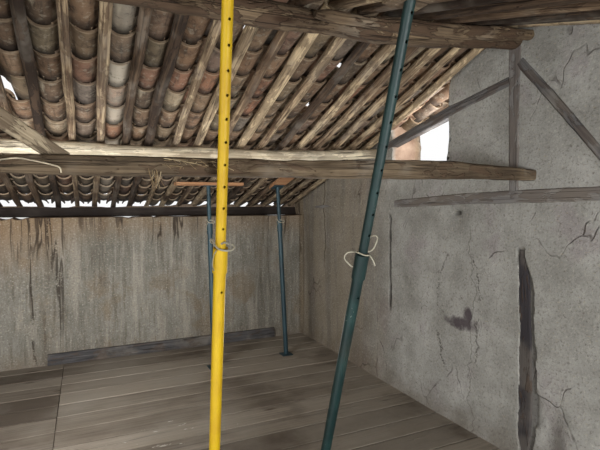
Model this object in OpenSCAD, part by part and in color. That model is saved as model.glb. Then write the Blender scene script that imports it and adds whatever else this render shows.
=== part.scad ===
// Upper room of an adobe house: mud-plastered walls, a plank floor and a sagging pole roof under clay tiles.
// X runs along the ridge, Y towards the back wall, Z up. Z = 0 is the foot of the walls. Millimetres.

/* [Room] */
// Inside length of the room, along the ridge
room_l = 7200; // [6000:100:8400]
// Inside width of the room, from eaves wall to eaves wall
room_w = 6700; // [5600:100:8000]
// Thickness of the adobe walls
wall_t = 330; // [260:10:420]
// Distance from the back wall's inside face to the ridge
ridge_to_back = 3200; // [2600:50:3600]

/* [Heights above the floor boards] */
// Top of the back wall plate
back_plate_top = 1630; // [1400:10:1900]
// Top of the front wall plate
front_plate_top = 1800; // [1500:10:2000]
// Underside of the rafters at the ridge, over the gables
ridge_under = 2780; // [2600:10:3200]
// How far the ridge has sunk at the middle of its length
ridge_sag = 150; // [0:10:200]
// How far the rafters have bent down at the purlins
rafter_bend = 65; // [0:5:80]
// Height where a gable's base wall ends and its upper wall starts
gable_split = 1500; // [1300:10:1550]
// Centre of the long tie beam below the ridge, at the gables
tie_height = 1835; // [1750:5:1900]

/* [Floor] */
// Depth of the floor joists
joist_h = 150; // [120:10:220]
// Width of the floor joists
joist_w = 130; // [90:10:180]
// Number of floor joists
joist_count = 12; // [8:1:14]
// Thickness of the floor boards
board_t = 30; // [20:5:45]
// How far joists, plates and logs reach into the walls
bearing = 150; // [80:10:200]

/* [Roof] */
// Distance between rafters
rafter_pitch = 180; // [160:10:300]
// Smallest half thickness of a rafter pole
rafter_half_min = 27; // [20:1:32]
// Largest half thickness of a rafter pole
rafter_half_max = 36; // [33:1:50]
// Half thickness of the ridge log
ridge_half = 60; // [50:5:90]
// Half thickness of the purlin logs
purlin_half = 52; // [40:2:80]
// Distance of the back purlin from the back wall
back_purlin_in = 1650; // [1300:50:2000]
// Distance of the front purlin from the front wall
front_purlin_in = 1750; // [1300:50:2000]
// Width of the wall plates
plate_w = 130; // [100:10:180]
// Height of the wall plates
plate_h = 110; // [80:10:130]
// Distance from a wall's inside face to its plate
plate_in = 190; // [0:10:200]
// Clay bed between the thickest rafters and the tiles
tile_bed = 8; // [6:1:20]
// Depth of the tile layer on the rafters
tile_layer = 95; // [70:5:130]
// How far the tiles reach past the eaves walls
eave_over = 100; // [80:10:300]
// How far the tiles reach past the gable walls
verge_over = 80; // [40:10:200]
// Radius of the ridge tiles
ridge_tile_r = 125; // [100:5:150]

/* [Gable frame] */
// Depth of the frame timbers, from front to back
frame_depth = 80; // [50:5:120]
// How far the frame timbers stand out of the plaster
frame_proud = 12; // [2:1:30]
// Width of the post below the ridge
king_w = 80; // [60:5:120]
// Side of the gap in the gable nearest the ridge, measured from the ridge
gap_from_ridge = 590; // [450:10:800]
// Width of the gap in the gable
gap_w = 720; // [400:10:900]
// Foot of the gap in the gable, above the floor boards
gap_sill = 1930; // [1850:10:2000]

/* [Doorway] */
// Side of the doorway nearest the ridge, measured from the ridge
door_from_ridge = 200; // [180:10:600]
// Width of the doorway in the left gable
door_w = 850; // [700:10:1000]
// Height of the timber lintel
lintel_h = 90; // [60:5:120]
// Bearing of the lintel on each side
lintel_bearing = 160; // [100:10:250]

/* [Props] */
// Radius of the yellow prop's lower tube
yellow_r = 27.5; // [25:0.5:35]
// Radius of a green prop's lower tube
green_r = 24.5; // [23:0.5:30]
// How much smaller the radius of the upper tube is
inner_less = 5; // [4:0.5:7]
// Wall of the prop tubes
tube_wall = 3; // [2:0.5:4]
// Side of the end plates
prop_plate = 120; // [100:5:150]
// Thickness of the end plates
prop_plate_t = 6; // [4:1:10]
// Distance between the holes of the upper tube
hole_pitch = 92; // [80:2:140]
// Length of the collar at the head of a lower tube
collar_l = 115; // [80:5:160]
// Thickness of the timber pads under the rafters
pad_t = 30; // [20:5:50]
// Width of the timber pads
pad_w = 140; // [130:5:180]

/* [Hidden] */
$fn = 32;

floor_top = joist_h + board_t;
half_l = room_l / 2;
half_w = room_w / 2;
out_l = half_l + wall_t;
out_w = half_w + wall_t;
ridge_y = half_w - ridge_to_back;
rafter_depth = 2 * rafter_half_max + tile_bed;
// Clearance of a piece that stands or bears on another by an edge
gap = 0.3;
// Half of a round timber's flat, as a share of its half thickness
log_flat = tan(180 / 12);
pole_flat = tan(180 / 8);
eps = 1;

adobe = [0.62, 0.56, 0.48];
old_wood = [0.42, 0.33, 0.24];
pale_wood = [0.60, 0.50, 0.36];
dark_wood = [0.25, 0.21, 0.18];
clay = [0.60, 0.40, 0.30];
yellow_paint = [0.93, 0.76, 0.10];
green_paint = [0.10, 0.30, 0.24];

// Roof form. side is 1 for the back slope and -1 for the front slope.
// t runs down a slope, from 0 at the ridge to 1 at the inner edge of the wall plate.
BACK = 1;
FRONT = -1;
function mix(a, b, t) = a + (b - a) * t;
function span(side) = (side > 0 ? ridge_to_back : room_w - ridge_to_back) + plate_in;
function plate_top(side) = floor_top + (side > 0 ? back_plate_top : front_plate_top);
function slope_y(side, t) = ridge_y + side * span(side) * t;
function slope_t(side, y) = side * (y - ridge_y) / span(side);

// The logs are straight from step to step along the room, and so is all that lies on them
log_steps = 12;
function step_x(i) = mix(-half_l, half_l, i / log_steps);
function curve_sink(x) = ridge_sag * (1 - pow(abs(x) / half_l, 4));
function held(x) = min(half_l, max(-half_l, x));
function sink(x) = let (u = (held(x) + half_l) / room_l * log_steps, i = min(log_steps - 1, floor(u)))
    mix(curve_sink(step_x(i)), curve_sink(step_x(i + 1)), u - i);
function ridge_z(x) = floor_top + ridge_under - sink(x);

// Underside of the rafters, straight from ridge to purlin and from purlin to eaves
function purlin_t(side) = 1 - (plate_in + (side > 0 ? back_purlin_in : front_purlin_in)) / span(side);
function under(side, x, t) = let (p = purlin_t(side), low = mix(ridge_z(x), plate_top(side), p) - rafter_bend)
    t < p ? mix(ridge_z(x), low, t / p) : mix(low, plate_top(side), (t - p) / (1 - p));
function under_at(side, x, y) = under(side, x, slope_t(side, y));
function tail_t(side, over) = 1 + (wall_t - plate_in + over) / span(side);

// A repeatable number from -1 to 1 for each pair of counts
function chance(i, k) = sin(i * 137.5 + k * 71.3) * cos(i * 53.7 - k * 29.9);

// Outline of a round timber. A multiple of four sides puts flats at top and bottom, half away from the middle.
function ring2(half, sides) = [for (i = [0 : sides - 1])
    let (a = 360 * (i + 0.5) / sides) half / cos(180 / sides) * [cos(a), sin(a)]];

// Skin between rings of points that all have the same count, closed by a cap at each end
module skin(rings) {
    n = len(rings[0]);
    m = len(rings);
    sides = [for (k = [0 : m - 2]) for (i = [0 : n - 1]) let (a = k * n + i, b = k * n + (i + 1) % n)
        each [[a, b, b + n], [a, b + n, a + n]]];
    first = [for (i = [0 : n - 1]) n - 1 - i];
    last = [for (i = [0 : n - 1]) (m - 1) * n + i];
    polyhedron([for (r = rings) each r], [each sides, first, last]);
}

// Log along X through stations of [x, y, z, half thickness]
module log_x(stations, sides = 12)
    skin([for (s = stations) [for (p = ring2(s[3], sides)) [s[0], s[1] + p[0], s[2] + p[1]]]]);

// Pole along Y through stations of [x, y, z, half thickness]
module pole_y(stations, sides = 8)
    skin([for (s = stations) [for (p = ring2(s[3], sides)) [s[0] - p[0], s[1], s[2] + p[1]]]]);

// Flat outline in the Y-Z plane, made solid from x over a length
module wall_plane(x, length)
    translate([x, 0, 0]) rotate([90, 0, 90]) linear_extrude(length) children();

// Crooked timber in a wall plane through stations of [y, z, width]
module crooked(stations) {
    first = stations[0];
    last = stations[len(stations) - 1];
    along = [last[0] - first[0], last[1] - first[1]] / norm([last[0] - first[0], last[1] - first[1]]);
    across = [-along[1], along[0]];
    polygon([
        for (s = stations) [s[0], s[1]] + across * s[2] / 2,
        for (i = [len(stations) - 1 : -1 : 0]) [stations[i][0], stations[i][1]] - across * stations[i][2] / 2
    ]);
}

// Walls

door_back = ridge_y - door_from_ridge;
door_front = door_back - door_w;
function king_foot_y() = ridge_y - 60;

module joist_notches()
    for (x = joist_places())
        translate([x - joist_w / 2, -half_w - bearing, 0]) cube([joist_w, room_w + 2 * bearing, joist_h]);

function joist_places() = [for (i = [0 : joist_count - 1]) room_l * ((i + 0.5) / joist_count - 0.5)];

// An eaves wall, up to the foot of its plate
module eaves_wall(side) {
    inner = side * half_w;
    outer = side * out_w;
    difference() {
        wall_plane(-half_l, room_l)
            polygon([[inner, 0], [outer, 0], [outer, plate_top(side) - plate_h], [inner, plate_top(side) - plate_h]]);
        joist_notches();
    }
}

module back_wall() color(adobe) eaves_wall(BACK);

module front_wall() color(adobe) eaves_wall(FRONT);

module gable_base_outline()
    translate([-out_w, 0]) square([2 * out_w, floor_top + gable_split]);

// Head of a gable: the line on which the tiles are bedded
module gable_top_outline() {
    back_line = [for (t = [tail_t(BACK, 0), purlin_t(BACK), 0])
        [slope_y(BACK, t), under(BACK, half_l, t) + rafter_depth]];
    front_line = [for (t = [purlin_t(FRONT), tail_t(FRONT, 0)])
        [slope_y(FRONT, t), under(FRONT, half_l, t) + rafter_depth]];
    polygon([[-out_w, floor_top + gable_split], [out_w, floor_top + gable_split], each back_line, each front_line]);
}

// Place where masonry has been left out or has fallen, open up to the tiles
module gable_gap()
    translate([ridge_y + gap_from_ridge, floor_top + gap_sill])
        square([gap_w, ridge_under - gap_sill + rafter_depth]);

module lintel_outline()
    translate([door_front - lintel_bearing, floor_top + gable_split])
        square([door_w + 2 * lintel_bearing, lintel_h]);

module frame_pocket() wall_plane(half_l - frame_proud, frame_depth) children();

// Holes in a gable for the ends of the logs and plates
module log_pockets(tie_end) {
    wall_plane(half_l - eps, bearing + eps) {
        log_end(ridge_y, ridge_log_z(half_l), ridge_half);
        for (side = [BACK, FRONT])
            log_end(purlin_y(side), purlin_z(side, half_l), purlin_half);
        tie_outline(tie_end);
        for (side = [BACK, FRONT]) plate_outline(side);
    }
}

module log_end(y, z, half, sides = 12) translate([y, z]) polygon(ring2(half, sides));

module gable_top(tie_end) {
    difference() {
        wall_plane(half_l, wall_t) difference() {
            gable_top_outline();
            gable_gap();
        }
        log_pockets(tie_end);
        frame_pocket() {
            ring_beam_outline();
            king_post_outline();
            gable_strut_outline();
            gable_brace_outline();
        }
    }
}

module right_gable_base() color(adobe)
    difference() {
        wall_plane(half_l, wall_t) gable_base_outline();
        frame_pocket() lower_post_outline();
    }

module right_gable_top() color(adobe) gable_top(len(tie_shape) - 1);

// The left gable is the right one mirrored, with a doorway beside its post
module left_gable_base(from, to) color(adobe)
    mirror([1, 0, 0]) difference() {
        wall_plane(half_l, wall_t) intersection() {
            gable_base_outline();
            translate([from, 0]) square([to - from, floor_top + gable_split]);
        }
        frame_pocket() lower_post_outline();
    }

module left_gable_base_back() left_gable_base(door_back, out_w);

module left_gable_base_front() left_gable_base(-out_w, door_front);

module left_gable_top() color(adobe)
    mirror([1, 0, 0]) difference() {
        gable_top(0);
        wall_plane(half_l, wall_t) lintel_outline();
    }

module door_threshold() color(adobe)
    mirror([1, 0, 0]) wall_plane(half_l, wall_t) translate([door_front, 0]) square([door_w, floor_top]);

module door_lintel() color(dark_wood)
    mirror([1, 0, 0]) wall_plane(half_l, wall_t) lintel_outline();

// Frame of the gables

function ring_foot(y) = floor_top + mix(1580, 1745, (half_w - y) / room_w);
function ring_thick(y) = mix(55, 115, (half_w - y) / room_w) + 6 * sin(y / 7);

module ring_beam_outline() {
    steps = [for (i = [0 : 12]) mix(half_w, -half_w, i / 12)];
    polygon([
        for (y = steps) [y, ring_foot(y) + 5 * sin(y / 5)],
        for (i = [12 : -1 : 0]) let (y = steps[i]) [y, ring_foot(y) + 5 * sin(y / 5) + ring_thick(y)]
    ]);
}

module king_post_outline()
    difference() {
        crooked([[ridge_y - 10, ring_foot(ridge_y) + 40, king_w * 0.95], [ridge_y - 4, floor_top + 2200, king_w],
            [ridge_y, ridge_log_z(half_l), king_w * 1.3]]);
        ring_beam_outline();
        for (x = [half_l, half_l - frame_proud]) log_end(ridge_y, ridge_log_z(x), ridge_half);
    }

module gable_strut_outline() {
    foot_y = purlin_y(BACK) - purlin_half;
    difference() {
        crooked([[ridge_y, floor_top + 2462, 66], [ridge_y + 580, floor_top + 2362, 80],
            [ridge_y + 1180, floor_top + 2232, 72], [foot_y, floor_top + 2160, 62]]);
        king_post_outline();
    }
}

module gable_brace_outline()
    difference() {
        crooked([[ridge_y, floor_top + 2610, 66], [ridge_y - 330, floor_top + 2215, 62],
            [ridge_y - 700, floor_top + 1760, 58]]);
        king_post_outline();
        ring_beam_outline();
        translate([-half_w, 0]) square([room_w, ring_foot(ridge_y)]);
        for (x = [half_l, half_l - frame_proud]) log_end(ridge_y, ridge_log_z(x), ridge_half);
    }

module lower_post_outline()
    intersection() {
        translate([-half_w, floor_top + gap]) square([room_w, gable_split]);
        crooked([[king_foot_y() - 45, floor_top, 70], [king_foot_y() - 50, floor_top + 350, 105],
            [king_foot_y() - 40, floor_top + 800, 88], [king_foot_y() - 28, floor_top + 1150, 66],
            [king_foot_y() - 20, floor_top + 1360, 34]]);
    }

module right_ring_beam() color(old_wood) frame_pocket() ring_beam_outline();

module right_king_post() color(old_wood) frame_pocket() king_post_outline();

module right_gable_strut() color(old_wood) frame_pocket() gable_strut_outline();

module right_gable_brace() color(old_wood) frame_pocket() gable_brace_outline();

module right_lower_post() color(dark_wood) frame_pocket() lower_post_outline();

module left_ring_beam() mirror([1, 0, 0]) right_ring_beam();

module left_king_post() mirror([1, 0, 0]) right_king_post();

module left_gable_strut() mirror([1, 0, 0]) right_gable_strut();

module left_gable_brace() mirror([1, 0, 0]) right_gable_brace();

module left_lower_post() mirror([1, 0, 0]) right_lower_post();

// Logs of the roof

// Places along a log that reaches into both gables; its last stretches are straight
function log_places() = [-half_l - bearing, for (i = [0 : log_steps]) step_x(i), half_l + bearing];

// The logs lie low enough for the rafters to bear on the edges of their flats
function fall(side, x, t) = (under(side, x, t) - under(side, x, t + 0.1)) / (0.1 * span(side));
function ridge_log_z(x) = ridge_z(x) - ridge_half - ridge_half * log_flat * fall(BACK, half_l, 0);
function purlin_y(side) = slope_y(side, purlin_t(side));
function purlin_z(side, x) = let (p = purlin_t(side))
    under(side, x, p) - purlin_half - purlin_half * log_flat * fall(side, half_l, p);

module ridge_log() color(old_wood)
    log_x([for (x = log_places()) [x, ridge_y, ridge_log_z(x), ridge_half]]);

// Second log laid beside the ridge, under the heads of the front rafters
lap_half = 38;
lap_y = ridge_y - ridge_half - lap_half - 8;
module ridge_lap_log() color(old_wood)
    log_x([for (x = [step_x(log_steps - 2.5), step_x(log_steps - 2), step_x(log_steps - 1), half_l])
        [x, lap_y, under_at(FRONT, x, lap_y) - lap_half - lap_half * log_flat * fall(FRONT, half_l, 0), lap_half]]);

module purlin(side) color(pale_wood)
    log_x([for (x = log_places()) [x, purlin_y(side), purlin_z(side, x), purlin_half]]);

module back_purlin() purlin(BACK);

module front_purlin() purlin(FRONT);

// Plate with its upper face hewn to the fall of the roof
module plate_outline(side) {
    top = plate_top(side);
    fall = (ridge_z(half_l) - top) / span(side) * plate_w;
    inner = side * (half_w + plate_in);
    polygon([[inner, top - plate_h], [inner + side * plate_w, top - plate_h], [inner + side * plate_w, top - fall],
        [inner, top]]);
}

module wall_plate(side) color(dark_wood)
    wall_plane(-half_l - bearing, room_l + 2 * bearing) plate_outline(side);

module back_wall_plate() wall_plate(BACK);

module front_wall_plate() wall_plate(FRONT);

// Tie beam, hewn from an uneven log, and the two struts that lean together under the ridge
tie_w = 100;
tie_y = ridge_y - 125;
tie_chamfer = 12;
// Stations of the tie beam: share of the way from the left to the right gable, sag and height
tie_shape = [[0, 5, 82], [0.2, 18, 92], [0.45, 34, 78], [0.61, 33, 76], [0.78, 14, 88], [0.91, -12, 106], [1, 0, 82]];
function tie_sag(k) = floor_top + tie_height - tie_shape[k][1];
function tie_side(mid, h) = let (w = tie_w / 2, c = tie_chamfer) [
    [tie_y - w, mid - h / 2 + c], [tie_y - w + c, mid - h / 2], [tie_y + w - c, mid - h / 2],
    [tie_y + w, mid - h / 2 + c], [tie_y + w, mid + h / 2 - c], [tie_y + w - c, mid + h / 2],
    [tie_y - w + c, mid + h / 2], [tie_y - w, mid + h / 2 - c]];
function tie_top(x) = let (u = (x + half_l) / room_l,
    k = max([for (i = [0 : len(tie_shape) - 2]) if (tie_shape[i][0] <= u) i]),
    v = (u - tie_shape[k][0]) / (tie_shape[k + 1][0] - tie_shape[k][0]))
    mix(tie_sag(k) + tie_shape[k][2] / 2, tie_sag(k + 1) + tie_shape[k + 1][2] / 2, v);

// Outline of the end that lies in a gable: the last station, or the first
module tie_outline(k = len(tie_shape) - 1) polygon(tie_side(tie_sag(k), tie_shape[k][2]));

module tie_beam() color(pale_wood) {
    last = len(tie_shape) - 1;
    ks = [0, each [0 : last], last];
    xs = [-half_l - bearing, for (k = [0 : last]) mix(-half_l, half_l, tie_shape[k][0]), half_l + bearing];
    skin([for (i = [0 : len(ks) - 1])
        [for (q = tie_side(tie_sag(ks[i]), tie_shape[ks[i]][2])) [xs[i], q[0], q[1]]]]);
}

strut_foot_x = 1035;
strut_depth = 68;
strut_w = 60;
strut_y = ridge_y - ridge_half - strut_w;
// Each strut stands on the tie beam and bears against the ridge log's flank at its head
module ridge_strut(mid = 1) {
    head_z = ridge_log_z(0);
    foot_z = tie_top(mid * strut_foot_x);
    slope = atan2(head_z - foot_z, strut_foot_x);
    drop = strut_depth / cos(slope);
    translate([0, strut_y + strut_w, 0]) rotate([90, 0, 0]) linear_extrude(strut_w) difference() {
        polygon([[0, head_z], [strut_foot_x, foot_z], [strut_foot_x, foot_z - drop], [0, head_z - drop]]);
        polygon([for (i = [0 : 6]) let (x = strut_foot_x * i / 6) [x, tie_top(mid * x)],
            [strut_foot_x + eps, floor_top], [0, floor_top]]);
    }
}

module right_ridge_strut() color(pale_wood) ridge_strut();

module left_ridge_strut() color(pale_wood) mirror([1, 0, 0]) ridge_strut(-1);

// Rafters: crooked poles that butt together over the ridge log and run out past the walls

rafter_count = floor(room_l / rafter_pitch);
rafter_over = 60;

function rafter_x(i) = (i - (rafter_count - 1) / 2) * rafter_pitch;
function rafter_half(i, side) = mix(rafter_half_min, rafter_half_max, (1 + chance(i, side * 3)) / 2);

// A level pole bears with one edge of its flat where the log below it rises along the room
function rafter_lift(side, i) = let (x = rafter_x(i))
    gap + rafter_half(i, side) * pole_flat * abs(ridge_z(x + 20) - ridge_z(x - 20)) / 40;
function rafter_foot(side, i, y) = let (t = slope_t(side, y), p = purlin_t(side))
    under(side, rafter_x(i), t) + mix(rafter_lift(side, i), gap, max(0, (t - p) / (1 - p)));

module rafter(side, i) {
    x = rafter_x(i);
    butt = rafter_half(i, side);
    lift = rafter_lift(side, i);
    places = [0.001, purlin_t(side), 1, tail_t(side, rafter_over)];
    stations = [for (k = [0 : 3]) let (t = places[k], half = butt - k)
        [x + 9 * chance(i + 5 * side, k), slope_y(side, t), under(side, x, t) + half + (k < 2 ? lift : gap), half]];
    pole_y(side > 0 ? stations : [for (k = [3 : -1 : 0]) stations[k]]);
}

module rafters(side) color(old_wood) for (i = [0 : rafter_count - 1]) rafter(side, i);

module back_rafters() rafters(BACK);

module front_rafters() rafters(FRONT);

// Tile layers, which follow the sag of the ridge and the bend of the rafters

function tile_places() = [-out_l - verge_over, for (i = [0 : 2 * log_steps]) step_x(i / 2), out_l + verge_over];

module tile_slab(side) {
    ts = [0, purlin_t(side) / 2, purlin_t(side), (1 + purlin_t(side)) / 2, 1, tail_t(side, eave_over)];
    section = function (x) [
        for (t = ts) [x, slope_y(side, t), under(side, x, t) + rafter_depth],
        for (k = [len(ts) - 1 : -1 : 0]) [x, slope_y(side, ts[k]), under(side, x, ts[k]) + rafter_depth + tile_layer]
    ];
    rings = [for (x = tile_places()) section(x)];
    skin(side > 0 ? rings : [for (r = rings) [for (k = [len(r) - 1 : -1 : 0]) r[k]]]);
}

module back_tiles() color(clay) tile_slab(BACK);

module front_tiles() color(clay) tile_slab(FRONT);

module ridge_tiles() {
    foot = rafter_depth + tile_layer + 3 * gap;
    spread = 0.9 * ridge_tile_r;
    color(clay) skin([for (x = tile_places()) let (z = ridge_z(x)) [
        for (side = [FRONT, 0, BACK]) let (y = ridge_y + side * spread)
            [x, y, side == 0 ? z + foot : under_at(side, x, y) + foot],
        for (a = [30 : 30 : 150]) [x, ridge_y + ridge_tile_r * cos(a), z + foot + 0.55 * ridge_tile_r * sin(a)]
    ]]);
}

// Floor

module floor_joists() color(old_wood) joist_notches();

module floor_boards() color(old_wood)
    translate([-half_l, -half_w, joist_h]) cube([room_l, room_w, board_t]);

foot_board_l = 2500;
foot_board_x = half_l - 2910;
module wall_foot_board() color(old_wood)
    translate([foot_board_x, half_w - 45, floor_top]) cube([foot_board_l, 45, 115]);

// Steel props. Each stands on its foot point and leans to its head point under a timber pad.

// Upright things made to lean from one point to another, with their sides still along the room
module along(from, to) {
    d = to - from;
    turn = atan2(d[1], d[0]);
    translate(from) rotate([0, acos(d[2] / norm(d)), turn]) rotate([0, 0, -turn]) children();
}

// Square end plate below z = 0, turned to lie flat against what bears on it
module end_plate(at, turned)
    translate(at) rotate(turned) translate([-prop_plate / 2, -prop_plate / 2, -prop_plate_t])
        cube([prop_plate, prop_plate, prop_plate_t]);

// All that lies above a plane through a point
module above(at, turned) translate(at) rotate(turned) translate([-prop_plate, -prop_plate, 0]) cube(2 * prop_plate);

// Hole for a pin, right through a tube
module pin_hole(z) translate([0, 0, z]) rotate([-90, 0, 10]) cylinder(r = 6, h = 3 * yellow_r, center = true, $fn = 16);

module lower_tube(prop, share, r) {
    length = norm(prop[1] - prop[0]) * share;
    translate([0, 0, prop_plate_t]) end_plate(prop[0], [0, 0, 0]);
    difference() {
        along(prop[0], prop[1]) difference() {
            union() {
                translate([0, 0, -r]) cylinder(r = r, h = length + r);
                translate([0, 0, length - collar_l]) cylinder(r = r + 5, h = collar_l);
            }
            translate([0, 0, -2 * r]) cylinder(r = r - tube_wall, h = length + 3 * r);
            pin_hole(length - 2.2 * hole_pitch);
        }
        mirror([0, 0, 1]) above([prop[0][0], prop[0][1], -prop[0][2]], [0, 0, 0]);
    }
}

module upper_tube(prop, share, r) {
    whole = norm(prop[1] - prop[0]);
    start = whole * share - 2 * hole_pitch;
    end_plate(prop[1], prop[2]);
    difference() {
        along(prop[0], prop[1]) difference() {
            translate([0, 0, start]) cylinder(r = r, h = whole - start + r);
            translate([0, 0, start - eps]) cylinder(r = r - tube_wall, h = whole - start + 2 * r);
            for (z = [whole * share + hole_pitch : hole_pitch : whole - hole_pitch / 2]) pin_hole(z);
        }
        above(prop[1], prop[2]);
    }
}

// Pad along X under the rafters of one slope, level across; its edge away from the ridge bears on them
function pad_top(side, x, y) = under_at(side, x, y + side * pad_w / 2) - gap;
function pad_rise(side, x, y) = (pad_top(side, x + 20, y) - pad_top(side, x - 20, y)) / 40;
module pad(side, x_from, x_to, y) {
    x = (x_from + x_to) / 2;
    translate([x, y, pad_top(side, x, y)]) rotate([0, -atan(pad_rise(side, x, y)), 0])
        translate([(x_from - x_to) / 2, -pad_w / 2, -pad_t]) cube([x_to - x_from, pad_w, pad_t]);
}

// Pad under one rafter, along its fall from y_from to y_to
module rafter_pad(side, i, y_from, y_to) {
    line = [for (y = [y_from, y_to]) [y, rafter_foot(side, i, y) - gap]];
    wall_plane(rafter_x(i) - pad_w / 2, pad_w) polygon([line[0], line[1], line[1] - [0, pad_t], line[0] - [0, pad_t]]);
}
function near_rafter(x) = round(x / rafter_pitch + (rafter_count - 1) / 2);

// A prop is its foot on the floor, its head against its pad, and the turn of the plate at its head.
// This one stands under the pad that runs along the room from pad[0] to pad[1].
function pad_prop(side, pad, foot, head) = let (
    x = (pad[0] + pad[1]) / 2,
    rise = pad_rise(side, x, head[1]),
    face = pad_top(side, x, head[1]) + rise * (head[0] - x) - pad_t * sqrt(1 + rise * rise))
    [[foot[0], foot[1], floor_top], [head[0], head[1], face - gap], [0, -atan(rise), 0]];

// This one stands under the pad below one rafter
function rafter_prop(side, i, foot, head_y) = let (
    a = rafter_foot(side, i, head_y - 20),
    b = rafter_foot(side, i, head_y + 20))
    [[foot[0], foot[1], floor_top], [rafter_x(i), head_y, (a + b) / 2 - 2 * gap - pad_t], [atan((b - a) / 40), 0, 0]];

// Places of the props, from the right gable, the ridge and the back wall
yellow_pad = [half_l - 2330, half_l - 1860];
green_rafter = near_rafter(half_l - 1530);
back_pad_a = [half_l - 1740, half_l - 1070];
yellow_prop = pad_prop(FRONT, yellow_pad, [half_l - 1946, ridge_y + 213], [half_l - 2035, ridge_y - 449]);
green_prop = rafter_prop(FRONT, green_rafter, [half_l - 1420, ridge_y + 45], ridge_y - 885);
back_prop_a = pad_prop(BACK, back_pad_a, [half_l - 1370, half_w - 780], [half_l - 1415, half_w - 790]);
back_rafter_b = near_rafter(half_l - 600);
back_prop_b = rafter_prop(BACK, back_rafter_b, [half_l - 545, half_w - 720], half_w - 690);
// Share of a prop's length that its lower tube takes
yellow_share = 0.5925;
green_share = 0.607;
back_share = 0.8;

module yellow_prop_lower_tube() color(yellow_paint) lower_tube(yellow_prop, yellow_share, yellow_r);

module yellow_prop_upper_tube() color(yellow_paint) upper_tube(yellow_prop, yellow_share, yellow_r - inner_less);

module yellow_prop_pad() color(pale_wood) pad(FRONT, yellow_pad[0], yellow_pad[1], yellow_prop[1][1]);

module green_prop_lower_tube() color(green_paint) lower_tube(green_prop, green_share, green_r);

module green_prop_upper_tube() color(green_paint) upper_tube(green_prop, green_share, green_r - inner_less);

module green_prop_pad() color(pale_wood)
    rafter_pad(FRONT, green_rafter, green_prop[1][1] - 190, green_prop[1][1] + 80);

module back_prop_lower_tubes() color(green_paint)
    for (prop = [back_prop_a, back_prop_b]) lower_tube(prop, back_share, green_r);

module back_prop_upper_tubes() color(green_paint)
    for (prop = [back_prop_a, back_prop_b]) upper_tube(prop, back_share, green_r - inner_less);

module back_prop_pads() color(pale_wood) {
    pad(BACK, back_pad_a[0], back_pad_a[1], back_prop_a[1][1]);
    rafter_pad(BACK, back_rafter_b, back_prop_b[1][1] - 370, back_prop_b[1][1] + 70);
}

back_wall();
front_wall();
right_gable_base();
right_gable_top();
left_gable_base_back();
left_gable_base_front();
left_gable_top();
door_threshold();
door_lintel();
right_ring_beam();
right_king_post();
right_gable_strut();
right_gable_brace();
right_lower_post();
left_ring_beam();
left_king_post();
left_gable_strut();
left_gable_brace();
left_lower_post();
ridge_log();
ridge_lap_log();
back_purlin();
front_purlin();
back_wall_plate();
front_wall_plate();
tie_beam();
right_ridge_strut();
left_ridge_strut();
back_rafters();
front_rafters();
back_tiles();
front_tiles();
ridge_tiles();
floor_joists();
floor_boards();
wall_foot_board();
yellow_prop_lower_tube();
yellow_prop_upper_tube();
yellow_prop_pad();
green_prop_lower_tube();
green_prop_upper_tube();
green_prop_pad();
back_prop_lower_tubes();
back_prop_upper_tubes();
back_prop_pads();
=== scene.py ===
# Finishes and fine pieces of the adobe house's roofed upper room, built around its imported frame.
# Metres. X runs along the ridge, Y towards the back wall, Z up, as in the frame.
import math

import bpy
import numpy as np
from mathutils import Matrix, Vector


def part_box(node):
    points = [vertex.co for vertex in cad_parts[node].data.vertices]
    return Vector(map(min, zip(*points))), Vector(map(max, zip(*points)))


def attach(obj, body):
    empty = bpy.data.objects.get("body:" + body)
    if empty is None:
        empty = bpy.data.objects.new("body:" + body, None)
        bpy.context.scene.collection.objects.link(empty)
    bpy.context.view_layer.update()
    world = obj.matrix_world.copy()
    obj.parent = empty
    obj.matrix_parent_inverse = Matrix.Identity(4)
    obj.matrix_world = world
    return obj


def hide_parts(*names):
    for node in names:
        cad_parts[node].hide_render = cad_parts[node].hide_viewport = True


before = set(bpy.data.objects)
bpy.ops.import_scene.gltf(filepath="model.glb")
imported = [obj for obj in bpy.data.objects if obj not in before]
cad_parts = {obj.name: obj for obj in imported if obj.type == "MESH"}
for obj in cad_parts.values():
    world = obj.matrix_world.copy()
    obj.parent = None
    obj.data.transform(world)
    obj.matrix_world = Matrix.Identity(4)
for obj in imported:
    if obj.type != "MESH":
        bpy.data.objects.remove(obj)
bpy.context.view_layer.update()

# Sizes that the frame gives
BACK, FRONT = 1, -1
SIDE_NAMES = {BACK: "back", FRONT: "front"}
HALF_L, HALF_W, FLOOR_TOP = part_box("floor_boards")[1]
BOARDS_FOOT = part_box("floor_boards")[0].z
OUT_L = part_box("right_gable_base")[1].x
OUT_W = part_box("back_wall")[1].y
BASE_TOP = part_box("right_gable_base")[1].z
RIDGE_Y = (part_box("ridge_log")[0].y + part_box("ridge_log")[1].y) / 2
PLATE_Y = {BACK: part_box("back_wall_plate")[0].y, FRONT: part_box("front_wall_plate")[1].y}
PLATE_TOP = {BACK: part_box("back_wall_plate")[1].z, FRONT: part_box("front_wall_plate")[1].z}
PURLIN_HALF = 0.052
PURLIN_Y = {BACK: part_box("back_purlin")[0].y + PURLIN_HALF, FRONT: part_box("front_purlin")[0].y + PURLIN_HALF}
TILE_END_Y = {BACK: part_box("back_tiles")[1].y, FRONT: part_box("front_tiles")[0].y}
TILE_END_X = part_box("back_tiles")[1].x

# Sizes of the roof form
RIDGE_UNDER = FLOOR_TOP + 2.78
RIDGE_SAG = 0.15
RAFTER_BEND = 0.065
RAFTER_DEPTH = 0.08
RAFTER_PITCH = 0.18
RAFTER_COUNT = 40
LOG_STEPS = 12
RIDGE_HALF = 0.06
# Half a side of the logs, which have twelve sides in the frame, as a share of their half thickness
HALF_FACET = math.tan(math.radians(15))


# Form of the roof

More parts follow.
